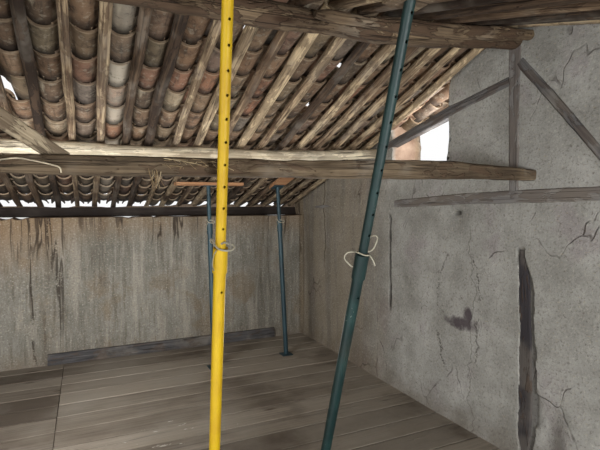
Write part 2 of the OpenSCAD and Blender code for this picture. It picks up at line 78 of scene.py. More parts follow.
def chance(i, k):
    """A repeatable number from -1 to 1 for two counts: a sine times a cosine of angles in degrees."""
    return np.sin(np.radians(i * 137.5 + k * 71.3)) * np.cos(np.radians(i * 53.7 - k * 29.9))


def ridge_z(x):
    """Underside of the rafters at the ridge: it sinks by the sag times one less the fourth power of the
    way to a gable, in straight stretches."""
    steps = np.linspace(-HALF_L, HALF_L, LOG_STEPS + 1)
    sunk = RIDGE_SAG * (1 - np.abs(steps / HALF_L) ** 4)
    return RIDGE_UNDER - np.interp(x, steps, sunk)


def under(side, x, y):
    """Underside of the rafters: straight from the ridge to the purlin, which has bent down, and straight
    from there past the wall plate."""
    ridge = ridge_z(x)
    share = (PURLIN_Y[side] - RIDGE_Y) / (PLATE_Y[side] - RIDGE_Y)
    low = ridge + (PLATE_TOP[side] - ridge) * share - RAFTER_BEND
    t = (np.asarray(y) - RIDGE_Y) / (PLATE_Y[side] - RIDGE_Y)
    upper = ridge + (low - ridge) * t / share
    lower = low + (PLATE_TOP[side] - low) * (t - share) / (1 - share)
    return np.where(t < share, upper, lower)


# Surfaces from arrays

def smooth_step(value, low, high):
    """0 below low, 1 above high, and the curve 3t^2 - 2t^3 between."""
    t = np.clip((value - low) / (high - low), 0, 1)
    return t * t * (3 - 2 * t)


LATTICE, LATTICE_SHIFT = 61, 600.0


def cloud(a, b, size, seed):
    """Smooth hills from -1 to 1 over the plane (a, b): random heights on a lattice of the given size,
    blended between its lines by the curve of smooth_step."""
    heights = np.random.default_rng(seed).uniform(-1, 1, (LATTICE, LATTICE))
    u, v = np.broadcast_arrays(np.asarray(a) / size + LATTICE_SHIFT, np.asarray(b) / size + LATTICE_SHIFT)
    i, j = np.floor(u).astype(int), np.floor(v).astype(int)
    s, t = smooth_step(u - i, 0, 1), smooth_step(v - j, 0, 1)
    i, j, i1, j1 = (n % LATTICE for n in (i, j, i + 1, j + 1))
    near = heights[i, j] * (1 - s) + heights[i1, j] * s
    far = heights[i, j1] * (1 - s) + heights[i1, j1] * s
    return near * (1 - t) + far * t


def reach_along(points):
    """Distance gone along lines of points: the sum of the steps so far."""
    steps = np.linalg.norm(np.diff(points, axis=-2), axis=-1)
    return np.concatenate([np.zeros_like(steps[..., :1]), np.cumsum(steps, -1)], -1)


def resample(stations, step):
    """Rows of numbers along a line of stations, about one step apart: each column is interpolated over
    the distance that the first two columns cover."""
    stations = np.asarray(stations, float)
    reach = reach_along(stations[:, :2])
    at = np.linspace(0, reach[-1], max(3, int(reach[-1] / step) + 1))
    return np.stack([np.interp(at, reach, column) for column in stations.T], 1)


def track(x, y, z):
    """Points from three coordinates, each a number or an array."""
    return np.stack(np.broadcast_arrays(x, y, z), -1)


def unit(vectors):
    return vectors / np.linalg.norm(vectors, axis=-1, keepdims=True)


ACROSS_X, ACROSS_Y = np.array([1.0, 0.0, 0.0]), np.array([0.0, 1.0, 0.0])


def sleeve(path, across, ring):
    """Rings carried along paths. A point is the path's point, plus the ring's first number along the
    direction across, plus its second along the direction square to both path and across."""
    along = unit(np.gradient(path, axis=-2))
    up = unit(np.cross(along, across))
    side = np.cross(up, along)
    return path[..., None, :] + ring[..., 0:1] * side[..., None, :] + ring[..., 1:2] * up[..., None, :]


def pole_ring(count, power=2.0):
    """Ring of half thickness 1: the circle's cosine and sine, divided by their norm of the given power.
    Power 2 is round, and more is squarer."""
    turn = 2 * np.pi * (np.arange(count) + 0.5) / count
    circle = np.stack([np.cos(turn), np.sin(turn)], -1)
    power = np.asarray(power, float)[..., None, None]
    return circle / (np.abs(circle) ** power).sum(-1, keepdims=True) ** (1 / power)


def board_ring(width, height, edge, flats):
    """Ring of a sawn or hewn piece: an oblong with quarter-round edges. Each flat has a point close to
    either edge, so that it stays flat in its shading, and the rest evenly between."""
    rest = np.linspace(-0.93, 0.93, flats)
    quarter = np.radians([-90.0, -45.0, 0.0])
    straight, arc = [], []
    for k, ahead in enumerate(np.array([[1, 0], [0, 1], [-1, 0], [0, -1]], float)):
        out = np.array([ahead[1], -ahead[0]])
        turned = quarter + k * np.pi / 2
        straight += [rest[:, None] * ahead + out, np.repeat((ahead + out)[None], 3, 0)]
        arc += [np.repeat(out[None], flats, 0), np.stack([np.cos(turned), np.sin(turned)], -1)]
    half = np.stack(np.broadcast_arrays(width, height), -1)[..., None, :] / 2 - edge
    return np.concatenate(straight) * half + edge * np.concatenate(arc)


def grid_faces(rows, around):
    """Corner numbers of the quads of one closed sleeve with flat ends, and the row and ring place of each
    corner, the ring's place running on past its last point so that a pattern closes there."""
    row = np.arange(rows - 1)[:, None]
    k = np.arange(around)[None]
    row, k = np.broadcast_arrays(row, k)
    ring_place, row_place = np.stack([k, k + 1, k + 1, k], -1), np.stack([row, row, row + 1, row + 1], -1)
    half = np.arange(around // 2 - 1)
    cap = np.stack([half, around - 1 - half, around - 2 - half, half + 1], -1)
    ring_place = np.concatenate([ring_place.reshape(-1, 4), cap, cap[:, ::-1]])
    ends = np.concatenate([np.zeros_like(cap), np.full_like(cap, rows - 1)])
    row_place = np.concatenate([row_place.reshape(-1, 4), ends])
    return row_place * around + ring_place % around, row_place, ring_place


CREASE = math.radians(50)


def add(name, data):
    """Puts an object of the given data in the scene."""
    made = bpy.data.objects.new(name, data)
    bpy.context.scene.collection.objects.link(made)
    return made


def piece(name, grids, finish, slot, nodes=(), tones=None, marks=None):
    """Mesh of closed sleeves. Each grid holds many alike, as an array of (sleeve, row, ring, xyz). A UV
    map gives metres round and along each sleeve, tone a random shade, and marks more numbers a point."""
    grids = [g if g.ndim == 4 else g[None] for g in (grids if isinstance(grids, list) else [grids])]
    points, quads, maps, tone, at = [], [], [], [], 0
    shades = np.random.default_rng(len(name) * 7 + ord(name[0]))
    for number, grid in enumerate(grids):
        count, rows, around = grid.shape[:3]
        corner, row_place, ring_place = grid_faces(rows, around)
        along = reach_along(grid.mean(2))
        belt = grid[:, rows // 2]
        girth = reach_along(np.concatenate([belt, belt[:, :1]], 1))
        one = np.stack([girth[:, ring_place], along[:, row_place]], -1)
        face = corner[None] + (np.arange(count) * rows * around)[:, None, None]
        flat = grid.reshape(-1, 3)
        a, b, c, d = (flat[face[..., k]] for k in range(4))
        if (a * (np.cross(b, c) + np.cross(c, d))).sum() < 0:
            face, one = face[..., ::-1], one[..., ::-1, :]
        points.append(flat)
        quads.append((face + at).reshape(-1, 4))
        maps.append(one.reshape(-1, 2))
        shade = shades.uniform(0, 1, count) if tones is None else np.broadcast_to(tones[number], (count,))
        tone.append(np.repeat(shade, rows * around))
        at += len(flat)
    points, quads = np.concatenate(points), np.concatenate(quads)
    mesh = bpy.data.meshes.new(name)
    mesh.vertices.add(len(points))
    mesh.vertices.foreach_set("co", points.astype(np.float32).ravel())
    mesh.loops.add(quads.size)
    mesh.loops.foreach_set("vertex_index", quads.astype(np.int32).ravel())
    mesh.polygons.add(len(quads))
    mesh.polygons.foreach_set("loop_start", np.arange(0, quads.size, 4, dtype=np.int32))
    mesh.update(calc_edges=True)
    mesh.uv_layers.new(name="surface").data.foreach_set("uv", np.concatenate(maps).astype(np.float32).ravel())
    for mark, values in {"tone": np.concatenate(tone), **(marks or {})}.items():
        layer = mesh.attributes.new(mark, "FLOAT", "POINT")
        layer.data.foreach_set("value", np.asarray(values, np.float32).ravel())
    mesh.polygons.foreach_set("use_smooth", np.ones(len(quads), bool))
    mesh.set_sharp_from_angle(angle=CREASE)
    mesh.materials.append(finish)
    made = add(name, mesh)
    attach(made, "root")
    if nodes:
        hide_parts(*nodes)


# Materials

def tint(*screen):
    """A colour as it shows on a screen, 0 to 255, made linear by the screen's own curve of power 2.4."""
    return tuple(((c / 255 + 0.055) / 1.055) ** 2.4 if c > 10 else c / 3294.6 for c in screen) + (1.0,)


class Wire:
    """One output of a node. Arithmetic on it adds Math nodes."""

    def __init__(self, nodes, socket):
        self.nodes, self.socket = nodes, socket

    def math(self, operation, a, b=0.0):
        return self.nodes.node("Math", {"operation": operation}, {0: a, 1: b})

    def __add__(self, other): return self.math("ADD", self, other)
    def __radd__(self, other): return self.math("ADD", other, self)
    def __sub__(self, other): return self.math("SUBTRACT", self, other)
    def __rsub__(self, other): return self.math("SUBTRACT", other, self)
    def __mul__(self, other): return self.math("MULTIPLY", self, other)
    def __rmul__(self, other): return self.math("MULTIPLY", other, self)
    def __truediv__(self, other): return self.math("DIVIDE", self, other)
    def __pow__(self, other): return self.math("POWER", self, other)
    def __abs__(self): return self.math("ABSOLUTE", self)
    def __or__(self, other): return self.math("MAXIMUM", self, other)
    def __and__(self, other): return self.math("MINIMUM", self, other)


class Nodes:
    """A node tree, whose nodes all come from node()."""

    def __init__(self, tree):
        self.tree = tree

    def node(self, kind, settings=None, sockets=None, out=0):
        """A node of one kind: its settings are set first, then its sockets get values or links."""
        made = self.tree.nodes.new("ShaderNode" + kind)
        for key, value in (settings or {}).items():
            setattr(made, key, value)
        self.feed(made, sockets or {})
        return Wire(self, made.outputs[out])

    def feed(self, node, sockets):
        for key, value in sockets.items():
            if isinstance(value, Wire):
                self.tree.links.new(value.socket, node.inputs[key])
            else:
                node.inputs[key].default_value = value


class Finish(Nodes):
    """One material. Its colour is laid on in coats."""

    def __init__(self, name, specular=0.5):
        self.material = bpy.data.materials.new(name)
        self.material.use_nodes = True
        super().__init__(self.material.node_tree)
        self.shader = self.tree.nodes["Principled BSDF"]
        self.feed(self.shader, {"Specular IOR Level": specular})

    def place(self, stretch=(1, 1, 1)):
        """Object coordinates, stretched along the axes."""
        place = self.node("TexCoord", out="Object")
        return self.node("Mapping", {"vector_type": "POINT"}, {"Vector": place, "Scale": stretch})

    def axes(self, place):
        return [self.node("SeparateXYZ", None, {0: place}, k) for k in range(3)]

    def use_map(self):
        """Takes the piece's own map and the tone of each sleeve."""
        self.u, self.v = self.axes(self.node("TexCoord", out="UV"))[:2]
        self.tone = self.mark("tone")

    def join(self, x, y, z=0.0):
        return self.node("CombineXYZ", None, {0: x, 1: y, 2: z})

    def oval(self, a, b, middle, half, power=2.0):
        """How far a point of the plane (a, b) is from a middle: 1 on the oval with the given halves."""
        return abs((a - middle[0]) / half[0]) ** 2.0 + abs((b - middle[1]) / half[1]) ** power

    def mark(self, name):
        return self.node("Attribute", {"attribute_name": name}, out="Fac")

    def noise(self, place, scale, detail=3.0, rough=0.55, warp=0.0):
        sockets = {"Vector": place, "Scale": scale, "Detail": detail, "Roughness": rough, "Distortion": warp}
        return self.node("TexNoise", None, sockets)

    def streaks(self, stretch, detail=3.0, rough=0.55):
        """Noise over stretched object coordinates."""
        return self.noise(self.place(stretch), 1.0, detail, rough)

    def fibres(self, across, along, tone, detail=3.0, rough=0.55, warp=0.0):
        """Noise over a piece's own map (u, v), which each tone moves to another place."""
        place = self.join(self.u * across, self.v * along, self.tone * tone)
        return self.noise(place, 1.0, detail, rough, warp)

    def cells(self, place, scale, feature="DISTANCE_TO_EDGE"):
        return self.node("TexVoronoi", {"feature": feature}, {"Vector": place, "Scale": scale})

    def step(self, value, low, high):
        return self.node("MapRange", {"interpolation_type": "SMOOTHSTEP"},
                         {"Value": value, "From Min": low, "From Max": high})

    def seam(self, value, at, near, far):
        """A line where the value passes a given one: 1 there, and 0 from far on."""
        return 1 - self.step(abs(value - at), near, far)

    def ramp(self, value, *stops):
        """Colours as they show on a screen, each at its place along the value."""
        made = self.node("ValToRGB", None, {0: value})
        elements = made.socket.node.color_ramp.elements
        for number, (at, color) in enumerate(stops):
            stop = elements[number] if number < 2 else elements.new(at)
            stop.position, stop.color = at, tint(*color)
        return made

    def blend(self, a, b, share):
        a, b = (tint(*color) if isinstance(color, tuple) else color for color in (a, b))
        return self.node("Mix", {"data_type": "RGBA"}, {0: share, 6: a, 7: b}, 2)

    def coat(self, color, share):
        """Lays a colour over the finish as far as the share says."""
        self.color = self.blend(self.color, color, share)

    def lay(self, color, value, low, high, share):
        """Lays a colour on up to the share, where the value runs from low to high or beyond."""
        self.coat(color, self.step(value, low, high) * share)

    def warped(self, place, scale, amount):
        """The place moved by up to about the amount, with hills of the given scale."""
        push = self.node("TexNoise", None, {"Vector": place, "Scale": scale, "Detail": 2.0}, 1)
        push = self.node("VectorMath", {"operation": "SUBTRACT"}, {0: push, 1: (0.5, 0.5, 0.5)})
        push = self.node("VectorMath", {"operation": "SCALE"}, {0: push, "Scale": amount})
        return self.node("VectorMath", {"operation": "ADD"}, {0: place, 1: push})

    def done(self, rough, height, depth):
        """Links the shader's sockets. Height is in shares of depth, which is in metres."""
        bump = self.node("Bump", None, {"Height": height, "Distance": depth, "Strength": 1.0})
        self.feed(self.shader, {"Base Color": self.color, "Roughness": rough, "Normal": bump})
        return self.material


# Where lime has splashed the floor, and where the painted shade towards the back eaves starts and is full
SPLASH = (1.6, 1.35)
EAVES_SHADE_Y = (1.5, 2.8)


def wood(name, dark, mid, light, silver, across=70.0, along=3.0, checks=0.7, soot_and_shade=0.0, bark=0.0,
         depth=0.005, trodden_and_shaded=False, grain=None):
    """Old timber on its own map: fibres stretched along it, broad stripes, cracks along the grain where
    stretched noise passes its middle value, silver-grey and sooty patches, painted shade towards the back
    eaves, flakes of bark left on it, and a tone for each piece. Where it is trodden it has dust and splashes
    of lime too, and painted shade that darkens it towards the left end and the back. A frame node has no
    map, so its grain runs along x or y instead."""
    f = Finish(name, 0.25)
    x, y, z = f.axes(f.place())
    if grain:
        f.u, f.v, f.tone = (y + z, x, 0.5) if grain == "x" else (x + z, y, 0.5)
    else:
        f.use_map()
    fibre = f.fibres(across, along, 40.0, 4.0, 0.65, 0.3)
    broad = f.fibres(across * 0.16, along * 0.4, 17.0)
    crack = f.fibres(across * 0.4, along * 0.22, 61.0, 3.0, 0.5, 0.15)
    patch = f.noise(f.place(), 2.3, 4.0, 0.6)
    knot = f.cells(f.join(f.u * 7.0, f.v * 1.6, f.tone * 23.0), 1.0, "F1")
    flake = f.fibres(16.0, 5.0, 83.0, 4.0, 0.65, 0.4)
    line = f.seam(crack, 0.5, 0.003, 0.016) * f.step(broad, 0.38, 0.6) * checks
    eye = 1 - f.step(knot, 0.05, 0.13)
    shade = fibre * 0.6 + broad * 0.4 + (f.tone - 0.5) * 0.5
    f.color = f.ramp(shade, (0.3, dark), (0.52, mid), (0.72, light))
    f.lay((148, 140, 128), patch, 0.48, 0.66, silver)
    # Painted shade towards the back eaves, laid on together with the sooty patches
    eaves_shade = f.step(y, *EAVES_SHADE_Y) * 0.8
    f.coat((38, 30, 25), (f.step(patch, 0.5, 0.3) + eaves_shade) * soot_and_shade)
    skin = f.step(flake + (f.tone - 0.5) * 0.12, 0.5, 0.56) * bark
    f.coat(f.blend((62, 46, 36), (104, 84, 66), fibre), skin)
    f.coat((26, 19, 14), line)
    f.coat((58, 40, 27), eye * 0.75)
    if trodden_and_shaded:
        cloudy = f.noise(f.place(), 1.1, 5.0, 0.6)
        f.coat((158, 151, 139), f.step(cloudy + x * 0.06 - y * 0.02, 0.46, 0.78) * 0.6)
        f.lay((72, 63, 56), cloudy, 0.46, 0.3, 0.4)
        # Painted shade: the floor darkens towards the left end and the back
        f.coat((58, 50, 44), f.step(x - y * 0.3, 1.2, -1.2) * 0.45)
        near = f.oval(x, y, SPLASH, (0.5, 0.3))
        drop = f.streaks((8.0, 26.0, 8.0), 4.0, 0.6)
        f.coat((214, 210, 200), f.step(drop - near * 0.12, 0.62, 0.66))
    height = fibre * 0.4 + broad * 0.3 - line * 1.2 + eye * 0.4 + skin * (0.6 + flake * 0.8)
    return f.done(0.72 + fibre * 0.25, height, depth)


def clay():
    """Fired clay: a tone for each tile picks its colour, with wheel marks, dark mottles, lime bloom and, on the
    faces that look up, lichen and wash of rain. From below it has painted shade in the laps and towards the
    back eaves, and a painted highlight on the rim at each head."""
    f = Finish("fired_clay", 0.3)
    f.use_map()
    place = f.place()
    up = f.step(f.axes(f.node("NewGeometry", out="Normal"))[2], 0.1, 0.5)
    f.color = f.ramp(f.tone, (0.0, (94, 80, 66)), (0.2, (132, 104, 80)), (0.38, (116, 104, 84)),
                     (0.55, (140, 110, 86)), (0.7, (112, 105, 96)), (0.86, (146, 104, 80)),
                     (1.0, (150, 138, 114)))
    mottle = f.noise(place, 9.0, 5.0, 0.6)
    drag = f.fibres(40.0, 5.0, 30.0, 4.0)
    grit = f.noise(place, 160.0, 2.0)
    bloom = f.fibres(14.0, 4.0, 11.0)
    f.lay((64, 54, 46), mottle, 0.44, 0.7, 0.75)
    f.lay((196, 184, 160), bloom, 0.56, 0.74, 0.55)
    f.lay((56, 48, 42), drag, 0.54, 0.7, 0.6)
    limed = f.mark("limed")
    f.coat((206, 198, 180), limed * (0.45 + bloom * 0.7))
    speck = f.noise(place, 24.0, 4.0, 0.72)
    f.lay((178, 168, 148), speck, 0.54, 0.68, 0.45)
    f.lay((52, 45, 40), speck, 0.46, 0.32, 0.5)
    lichen = f.step(f.cells(f.warped(place, 14.0, 0.05), 26.0, "F1"), 0.32, 0.2) * f.step(mottle, 0.45, 0.6)
    f.coat((158, 154, 138), lichen * (1 - up) * 0.35)
    weather = f.noise(place, 1.2, 5.0, 0.65)
    f.coat(f.ramp(f.tone, (0.1, (172, 140, 104)), (0.6, (162, 108, 78))), up * 0.35)
    f.lay((88, 78, 68), weather, 0.48, 0.66, up * 0.6)
    f.coat((170, 164, 136), lichen * up * 0.75)
    # From below: painted shadow in the lap under the tile above, painted shade towards the back eaves, and a
    # painted highlight on the rim at the head, patchy with the lime bloom
    f.coat((36, 30, 26), f.step(f.v, 0.16, 0.24) * (1 - up) * 0.75)
    f.coat((44, 40, 37), f.step(f.axes(place)[1], *EAVES_SHADE_Y) * (1 - up) * 0.5)
    rim = f.step(f.v, 0.014, 0.005) * (1 - up)
    f.coat((176, 156, 130), rim * (0.1 + bloom * 0.8))
    height = mottle * 0.35 + drag * 0.35 + grit * 0.3
    return f.done(0.8 + mottle * 0.15, height, 0.003)


# Adobe bricks, and places of wear on the walls, in metres
BRICK_LENGTH, BRICK_COURSE = 0.36, 0.11
ORANGE_END_X = 1.0
STAIN_Y, STAIN_Z = 0.56, 0.95
SHEET_Y, SHEET_Z, SHEET_HALF_Y, SHEET_HALF_Z = 0.62, 1.0, 0.2, 0.5
UPRIGHT_CRACK_Y, HAIRLINE_Y = 2.75, 0.47


def plaster():
    """Mud plaster: trowelled earth in blotches, grit and straw, runs of water, cracks in a net and
    fissures that hang from the plate, dirt at the foot, painted shade over the back wall and in sunken
    places, and bare adobe bricks where it has worn off."""
    f = Finish("mud_plaster", 0.15)
    place = f.place()
    x, y, z = f.axes(place)
    bare, sunk = f.mark("bare"), f.mark("sunk")
    outside = f.step(abs(x) - OUT_L | abs(y) - OUT_W, -0.1, -0.05)
    on_back = f.step(y, HALF_W - 0.06, HALF_W - 0.04) * (1 - outside)
    on_gable = f.step(x, HALF_L - 0.06, HALF_L - 0.04) * (1 - outside)
    broad = f.noise(place, 0.9, 3.0, 0.6)
    mottle = f.noise(place, 4.5, 5.0, 0.65)
    smear = f.noise(f.warped(place, 3.0, 0.25), 2.2, 4.0, 0.6)
    grit = f.noise(place, 60.0, 4.0, 0.7)
    runs = f.streaks((7.0, 7.0, 0.55), 5.0, 0.6)
    straw = f.noise(f.warped(f.place((1.0, 1.0, 3.2)), 30.0, 0.03), 42.0, 2.0)
    shade = mottle * 0.45 + broad * 0.3 + smear * 0.25
    f.color = f.ramp(shade, (0.3, (120, 118, 111)), (0.5, (158, 157, 151)), (0.7, (195, 194, 189)))
    f.lay((142, 134, 134), smear, 0.53, 0.68, 0.6)
    # Painted shade: the back wall takes a darker copy of the plaster's colours
    back_wall_shade = f.ramp(shade, (0.3, (91, 88, 80)), (0.5, (123, 120, 111)), (0.7, (156, 153, 144)))
    f.coat(back_wall_shade, on_back)
    # Water marks on the back wall, and its orange end below the plate
    drips = f.streaks((26.0, 26.0, 2.0), 3.0, 0.6)
    f.lay((90, 82, 70), drips, 0.53, 0.66, on_back * 0.5)
    f.lay((168, 161, 147), drips, 0.46, 0.34, on_back * 0.35)
    broken = runs * 0.65 + mottle * 0.35
    f.lay((86, 78, 68), broken, 0.52, 0.62, on_back * 0.5)
    f.lay((172, 165, 152), broken, 0.47, 0.38, on_back * 0.4)
    f.coat((112, 94, 70), f.step(smear, 0.5, 0.64) * f.step(broad, 0.42, 0.6) * on_back * 0.55)
    warm = f.step(x - z * 0.4 + mottle * 0.6, ORANGE_END_X, ORANGE_END_X - 0.9) * f.step(z, 0.9, 1.6) * on_back
    f.coat((150, 122, 90), warm * 0.5)
    top = f.step(z + mottle * 0.3, 1.5, 1.85) * on_back
    f.coat((134, 106, 74), top * 0.4)
    far_end = f.step(y + smear * 0.5, 1.5, 2.3) * on_gable
    f.coat(f.blend((128, 114, 92), (102, 90, 74), f.step(runs, 0.42, 0.62)), far_end * 0.7)
    # Straw and grit
    f.lay((190, 172, 134), straw, 0.64, 0.72, 0.35)
    f.lay((88, 78, 68), grit, 0.53, 0.7, 0.6)
    f.lay((204, 198, 184), grit, 0.46, 0.3, 0.4)
    # Fissures below the plate, and cracks in patches
    hang = f.noise(f.warped(f.place((5.0, 5.0, 0.45)), 1.3, 0.9), 1.0, 3.0, 0.6)
    reach = f.streaks((2.6, 2.6, 0.0)) * 1.9
    fissure = f.seam(hang, 0.5, 0.003, 0.026) * f.step(z + reach, 2.2, 2.6) * on_back
    long_crack = f.noise(f.warped(f.place((2.0, 2.0, 0.12)), 6.0, 0.2), 1.0, 4.0, 0.66)
    left_crack = f.seam(long_crack, 0.47, 0.004, 0.02) * f.step(x, 1.3, 0.7) * on_back
    left_crack = left_crack * f.step(mottle * 0.7 + grit * 0.3, 0.4, 0.47)
    net = f.cells(f.warped(f.place((1.0, 1.0, 0.62)), 5.0, 0.22), 2.3)
    fine = f.cells(f.warped(place, 13.0, 0.08), 8.0)
    crack = f.seam(net, 0.0, 0.002, 0.012) * f.step(smear, 0.5, 0.64) * (1 - on_back * 0.6)
    craze = f.seam(fine, 0.0, 0.004, 0.03) * f.step(mottle * 0.6 + broad * 0.4, 0.53, 0.6) * 0.5
    # A sheet of plaster that has come loose on the gable, with a dark stain in it
    away = f.oval(y, z, (SHEET_Y, SHEET_Z), (SHEET_HALF_Y, SHEET_HALF_Z), 4.0)
    away = away + (mottle - 0.5) * 2.2 + (smear - 0.5) * 1.6
    rim = f.seam(away, 1.0, 0.02, 0.14) * on_gable * f.step(grit * 0.5 + mottle * 0.5, 0.47, 0.53)
    rim = rim * f.step(abs(y - SHEET_Y) / SHEET_HALF_Y, 0.35, 0.75)
    stain = f.oval(y, z, (STAIN_Y, STAIN_Z), (0.16, 0.06))
    blob = f.oval(y, z, (STAIN_Y - 0.03, STAIN_Z + 0.06), (0.055, 0.065))
    stained = (1 - f.step((stain & blob) + (mottle - 0.5) * 4.0, 0.4, 1.3)) * on_gable
    f.coat((70, 58, 66), stained * 0.85)
    weave = (f.noise(f.place((1.0, 1.0, 4.0)), 1.5, 4.0) - 0.5) * 0.12
    upright = f.seam(y + weave, UPRIGHT_CRACK_Y, 0.004, 0.014) * f.step(z, 1.0, 1.3) * on_gable
    hairline = f.seam(y + weave * 2.0, HAIRLINE_Y, 0.002, 0.006) * f.step(z, 1.74, 1.6) * on_gable
    split = fissure | left_crack | crack * 0.6 | craze * 0.5 | rim * 0.8 | upright * 0.9 | hairline * 0.5
    f.coat((50, 41, 34), split * 0.85)
    # Dirt at the foot, bare orange earth, painted shade in sunken places, and worn adobe bricks outside
    foot = f.step(z + mottle * 0.3, 0.6, 0.24)
    f.coat((104, 92, 78), foot * 0.55)
    earth = f.ramp(mottle, (0.35, (140, 114, 96)), (0.65, (188, 164, 144)))
    f.coat(earth, bare)
    f.coat((44, 38, 36), sunk * 0.85)
    worn = f.step(f.noise(place, 1.3, 5.0, 0.65), 0.54, 0.58) * outside
    f.coat((160, 138, 108), (f.step(broad * 0.5 + smear * 0.5, 0.46, 0.6) + 0.35) * outside * 0.5)
    f.lay((110, 101, 88), runs, 0.52, 0.66, outside * 0.5)
    along = f.join(x + y, z)
    bricks = {"Vector": along, "Scale": 1.0, "Color1": tint(148, 126, 101), "Color2": tint(128, 110, 90),
              "Mortar": tint(122, 109, 92), "Mortar Size": 0.012, "Mortar Smooth": 0.7,
              "Brick Width": BRICK_LENGTH, "Row Height": BRICK_COURSE}
    courses = f.node("TexBrick", {"offset": 0.5}, bricks)
    joint = f.node("TexBrick", {"offset": 0.5}, bricks, 1)
    courses = f.blend(courses, (104, 86, 66), f.step(mottle, 0.5, 0.7) * 0.5)
    f.coat(courses, worn)
    height = mottle * 0.75 + grit * 0.3 + drips * 0.3 * on_back - crack * 0.5 - worn * (0.7 + joint * 0.6)
    return f.done(0.88 + grit * 0.1, height, 0.012)


def paint(name, fresh, faded, bare, chips):
    """Site paint on steel: faded in patches, scratched along the tube, and chipped down to primer and
    rust where two noises are both high."""
    f = Finish(name)
    place = f.place()
    patch = f.noise(place, 6.0, 4.0)
    scratch = f.streaks((30.0, 30.0, 2.5), 4.0, 0.7)
    speck = f.noise(place, 55.0, 5.0, 0.7)
    chip = f.step(speck * 0.6 + patch * 0.4, chips, chips + 0.03)
    scuff = f.step(scratch, 0.62, 0.74) * 0.5
    f.color = f.blend(fresh, faded, f.step(patch, 0.35, 0.7))
    f.coat(faded, scuff)
    f.coat(bare, chip)
    dirt = f.streaks((9.0, 9.0, 1.2), 5.0)
    f.lay((70, 62, 50), dirt, 0.56, 0.8, 0.35)
    rough = 0.42 + patch * 0.18 + chip * 0.35 + scuff * 0.2
    return f.done(rough, speck * 0.3 - chip * 0.8 - scuff * 0.2, 0.0012)


PLASTER = plaster()
CLAY = clay()
POLE_WOOD = wood("pole_wood", (54, 43, 35), (117, 96, 76), (218, 195, 158), 0.4, soot_and_shade=0.55, bark=0.55,
                 depth=0.007)
LOG_WOOD = wood("log_wood", (52, 42, 34), (98, 82, 65), (152, 131, 104), 0.35, 60.0, 2.0, soot_and_shade=0.4,
                bark=0.9, depth=0.01)
HEWN_WOOD = wood("hewn_wood", (82, 69, 54), (138, 121, 98), (198, 182, 154), 0.6, 65.0, 2.0, bark=0.6,
                 soot_and_shade=0.4, depth=0.009)
PALE_LOG_WOOD = wood("pale_log_wood", (100, 84, 65), (176, 159, 131), (238, 226, 198), 0.4, 60.0, 2.0,
                     bark=0.4, soot_and_shade=0.2)
FRAME_WOOD = wood("frame_wood", (54, 53, 54), (92, 90, 90), (134, 131, 128), 0.4, 80.0, 3.0, bark=0.4,
                  depth=0.007)
POST_WOOD = wood("post_wood", (58, 55, 58), (100, 97, 101), (146, 142, 142), 0.3, 60.0, 2.0, bark=0.5,
                 depth=0.008)
DARK_WOOD = wood("dark_wood", (34, 30, 28), (62, 55, 51), (98, 88, 80), 0.15, 60.0, 2.0, soot_and_shade=0.6)
PLANK_WOOD = wood("plank_wood", (96, 86, 75), (128, 118, 105), (156, 146, 132), 0.35, 50.0, 1.6, 0.45,
                  trodden_and_shaded=True)
JOIST_WOOD = wood("joist_wood", (82, 68, 53), (130, 111, 88), (180, 160, 130), 0.5, grain="y")
STRAW = wood("straw", (124, 102, 72), (168, 146, 108), (206, 188, 152), 0.2, 90.0, 6.0, 0.2)
BACK_PAD_WOOD = wood("back_pad_wood", (112, 76, 52), (158, 116, 82), (200, 160, 120), 0.15, 90.0, 2.5, 0.4,
                     grain="x")
YELLOW = paint("yellow_paint", (216, 180, 20), (202, 162, 22), (96, 66, 40), 0.64)
GREEN = paint("green_paint", (12, 38, 38), (25, 56, 54), (128, 138, 128), 0.6)
DARK_GREEN = paint("dark_green_paint", (20, 46, 54), (32, 60, 68), (80, 80, 74), 0.62)
PIN_STEEL = paint("pin_steel", (158, 154, 136), (136, 130, 112), (104, 84, 64), 0.6)


# Walls

GABLE_ROW_IN, GABLE_ROW_OUT = 0.018, 0.06
EAVES_ROWS_IN, EAVES_ROWS_OUT = 86, 44
HEAD_ROWS = 6
WORN_BACK = 0.008
# Dips in the back wall's head where daylight shows, as places and half widths along X
HEAD_DIPS = ((0.33, 0.05), (0.47, 0.045), (1.5, 0.022), (1.8, 0.018))


def wall_rings(top, foot, thickness, rise, rows_in, rows_out):
    """Rings of a wall in (depth, height): up the inside face, over the head, which swells by the rise,
    down the outside face and back along the foot. The top is given for each station. Three more arrays
    tell which points are on the inside, over the head and on the outside."""
    inside, outside = np.linspace(0, 1, rows_in), np.linspace(1, 0, rows_out)
    head, sole = np.linspace(0, 1, HEAD_ROWS + 2)[1:-1], np.linspace(1, 0, 4)[1:-1]
    depth = np.concatenate([0 * inside, head, 1 + 0 * outside, sole]) * thickness
    top = top[:, None]
    height = np.concatenate([
        foot + (top - foot) * inside, top + rise * np.sin(np.pi * head),
        foot + (top - foot) * outside, np.full((len(top), len(sole)), foot)], 1)
    parts = np.repeat([0, 1, 2, 3], [rows_in, HEAD_ROWS, rows_out, len(sole)])
    return np.broadcast_to(depth, height.shape), height, parts == 0, parts == 1, parts == 2


def post_line(z):
    """Middle and width of the sunken post in a gable, in metres along Y, at heights z."""
    heights = FLOOR_TOP + np.array([0, 0.35, 0.8, 1.15, 1.36])
    middle = RIDGE_Y - 0.06 - np.array([0.045, 0.05, 0.04, 0.028, 0.02])
    width = np.array([0.07, 0.105, 0.088, 0.066, 0.034])
    return np.interp(z, heights, middle), np.interp(z, heights, width)


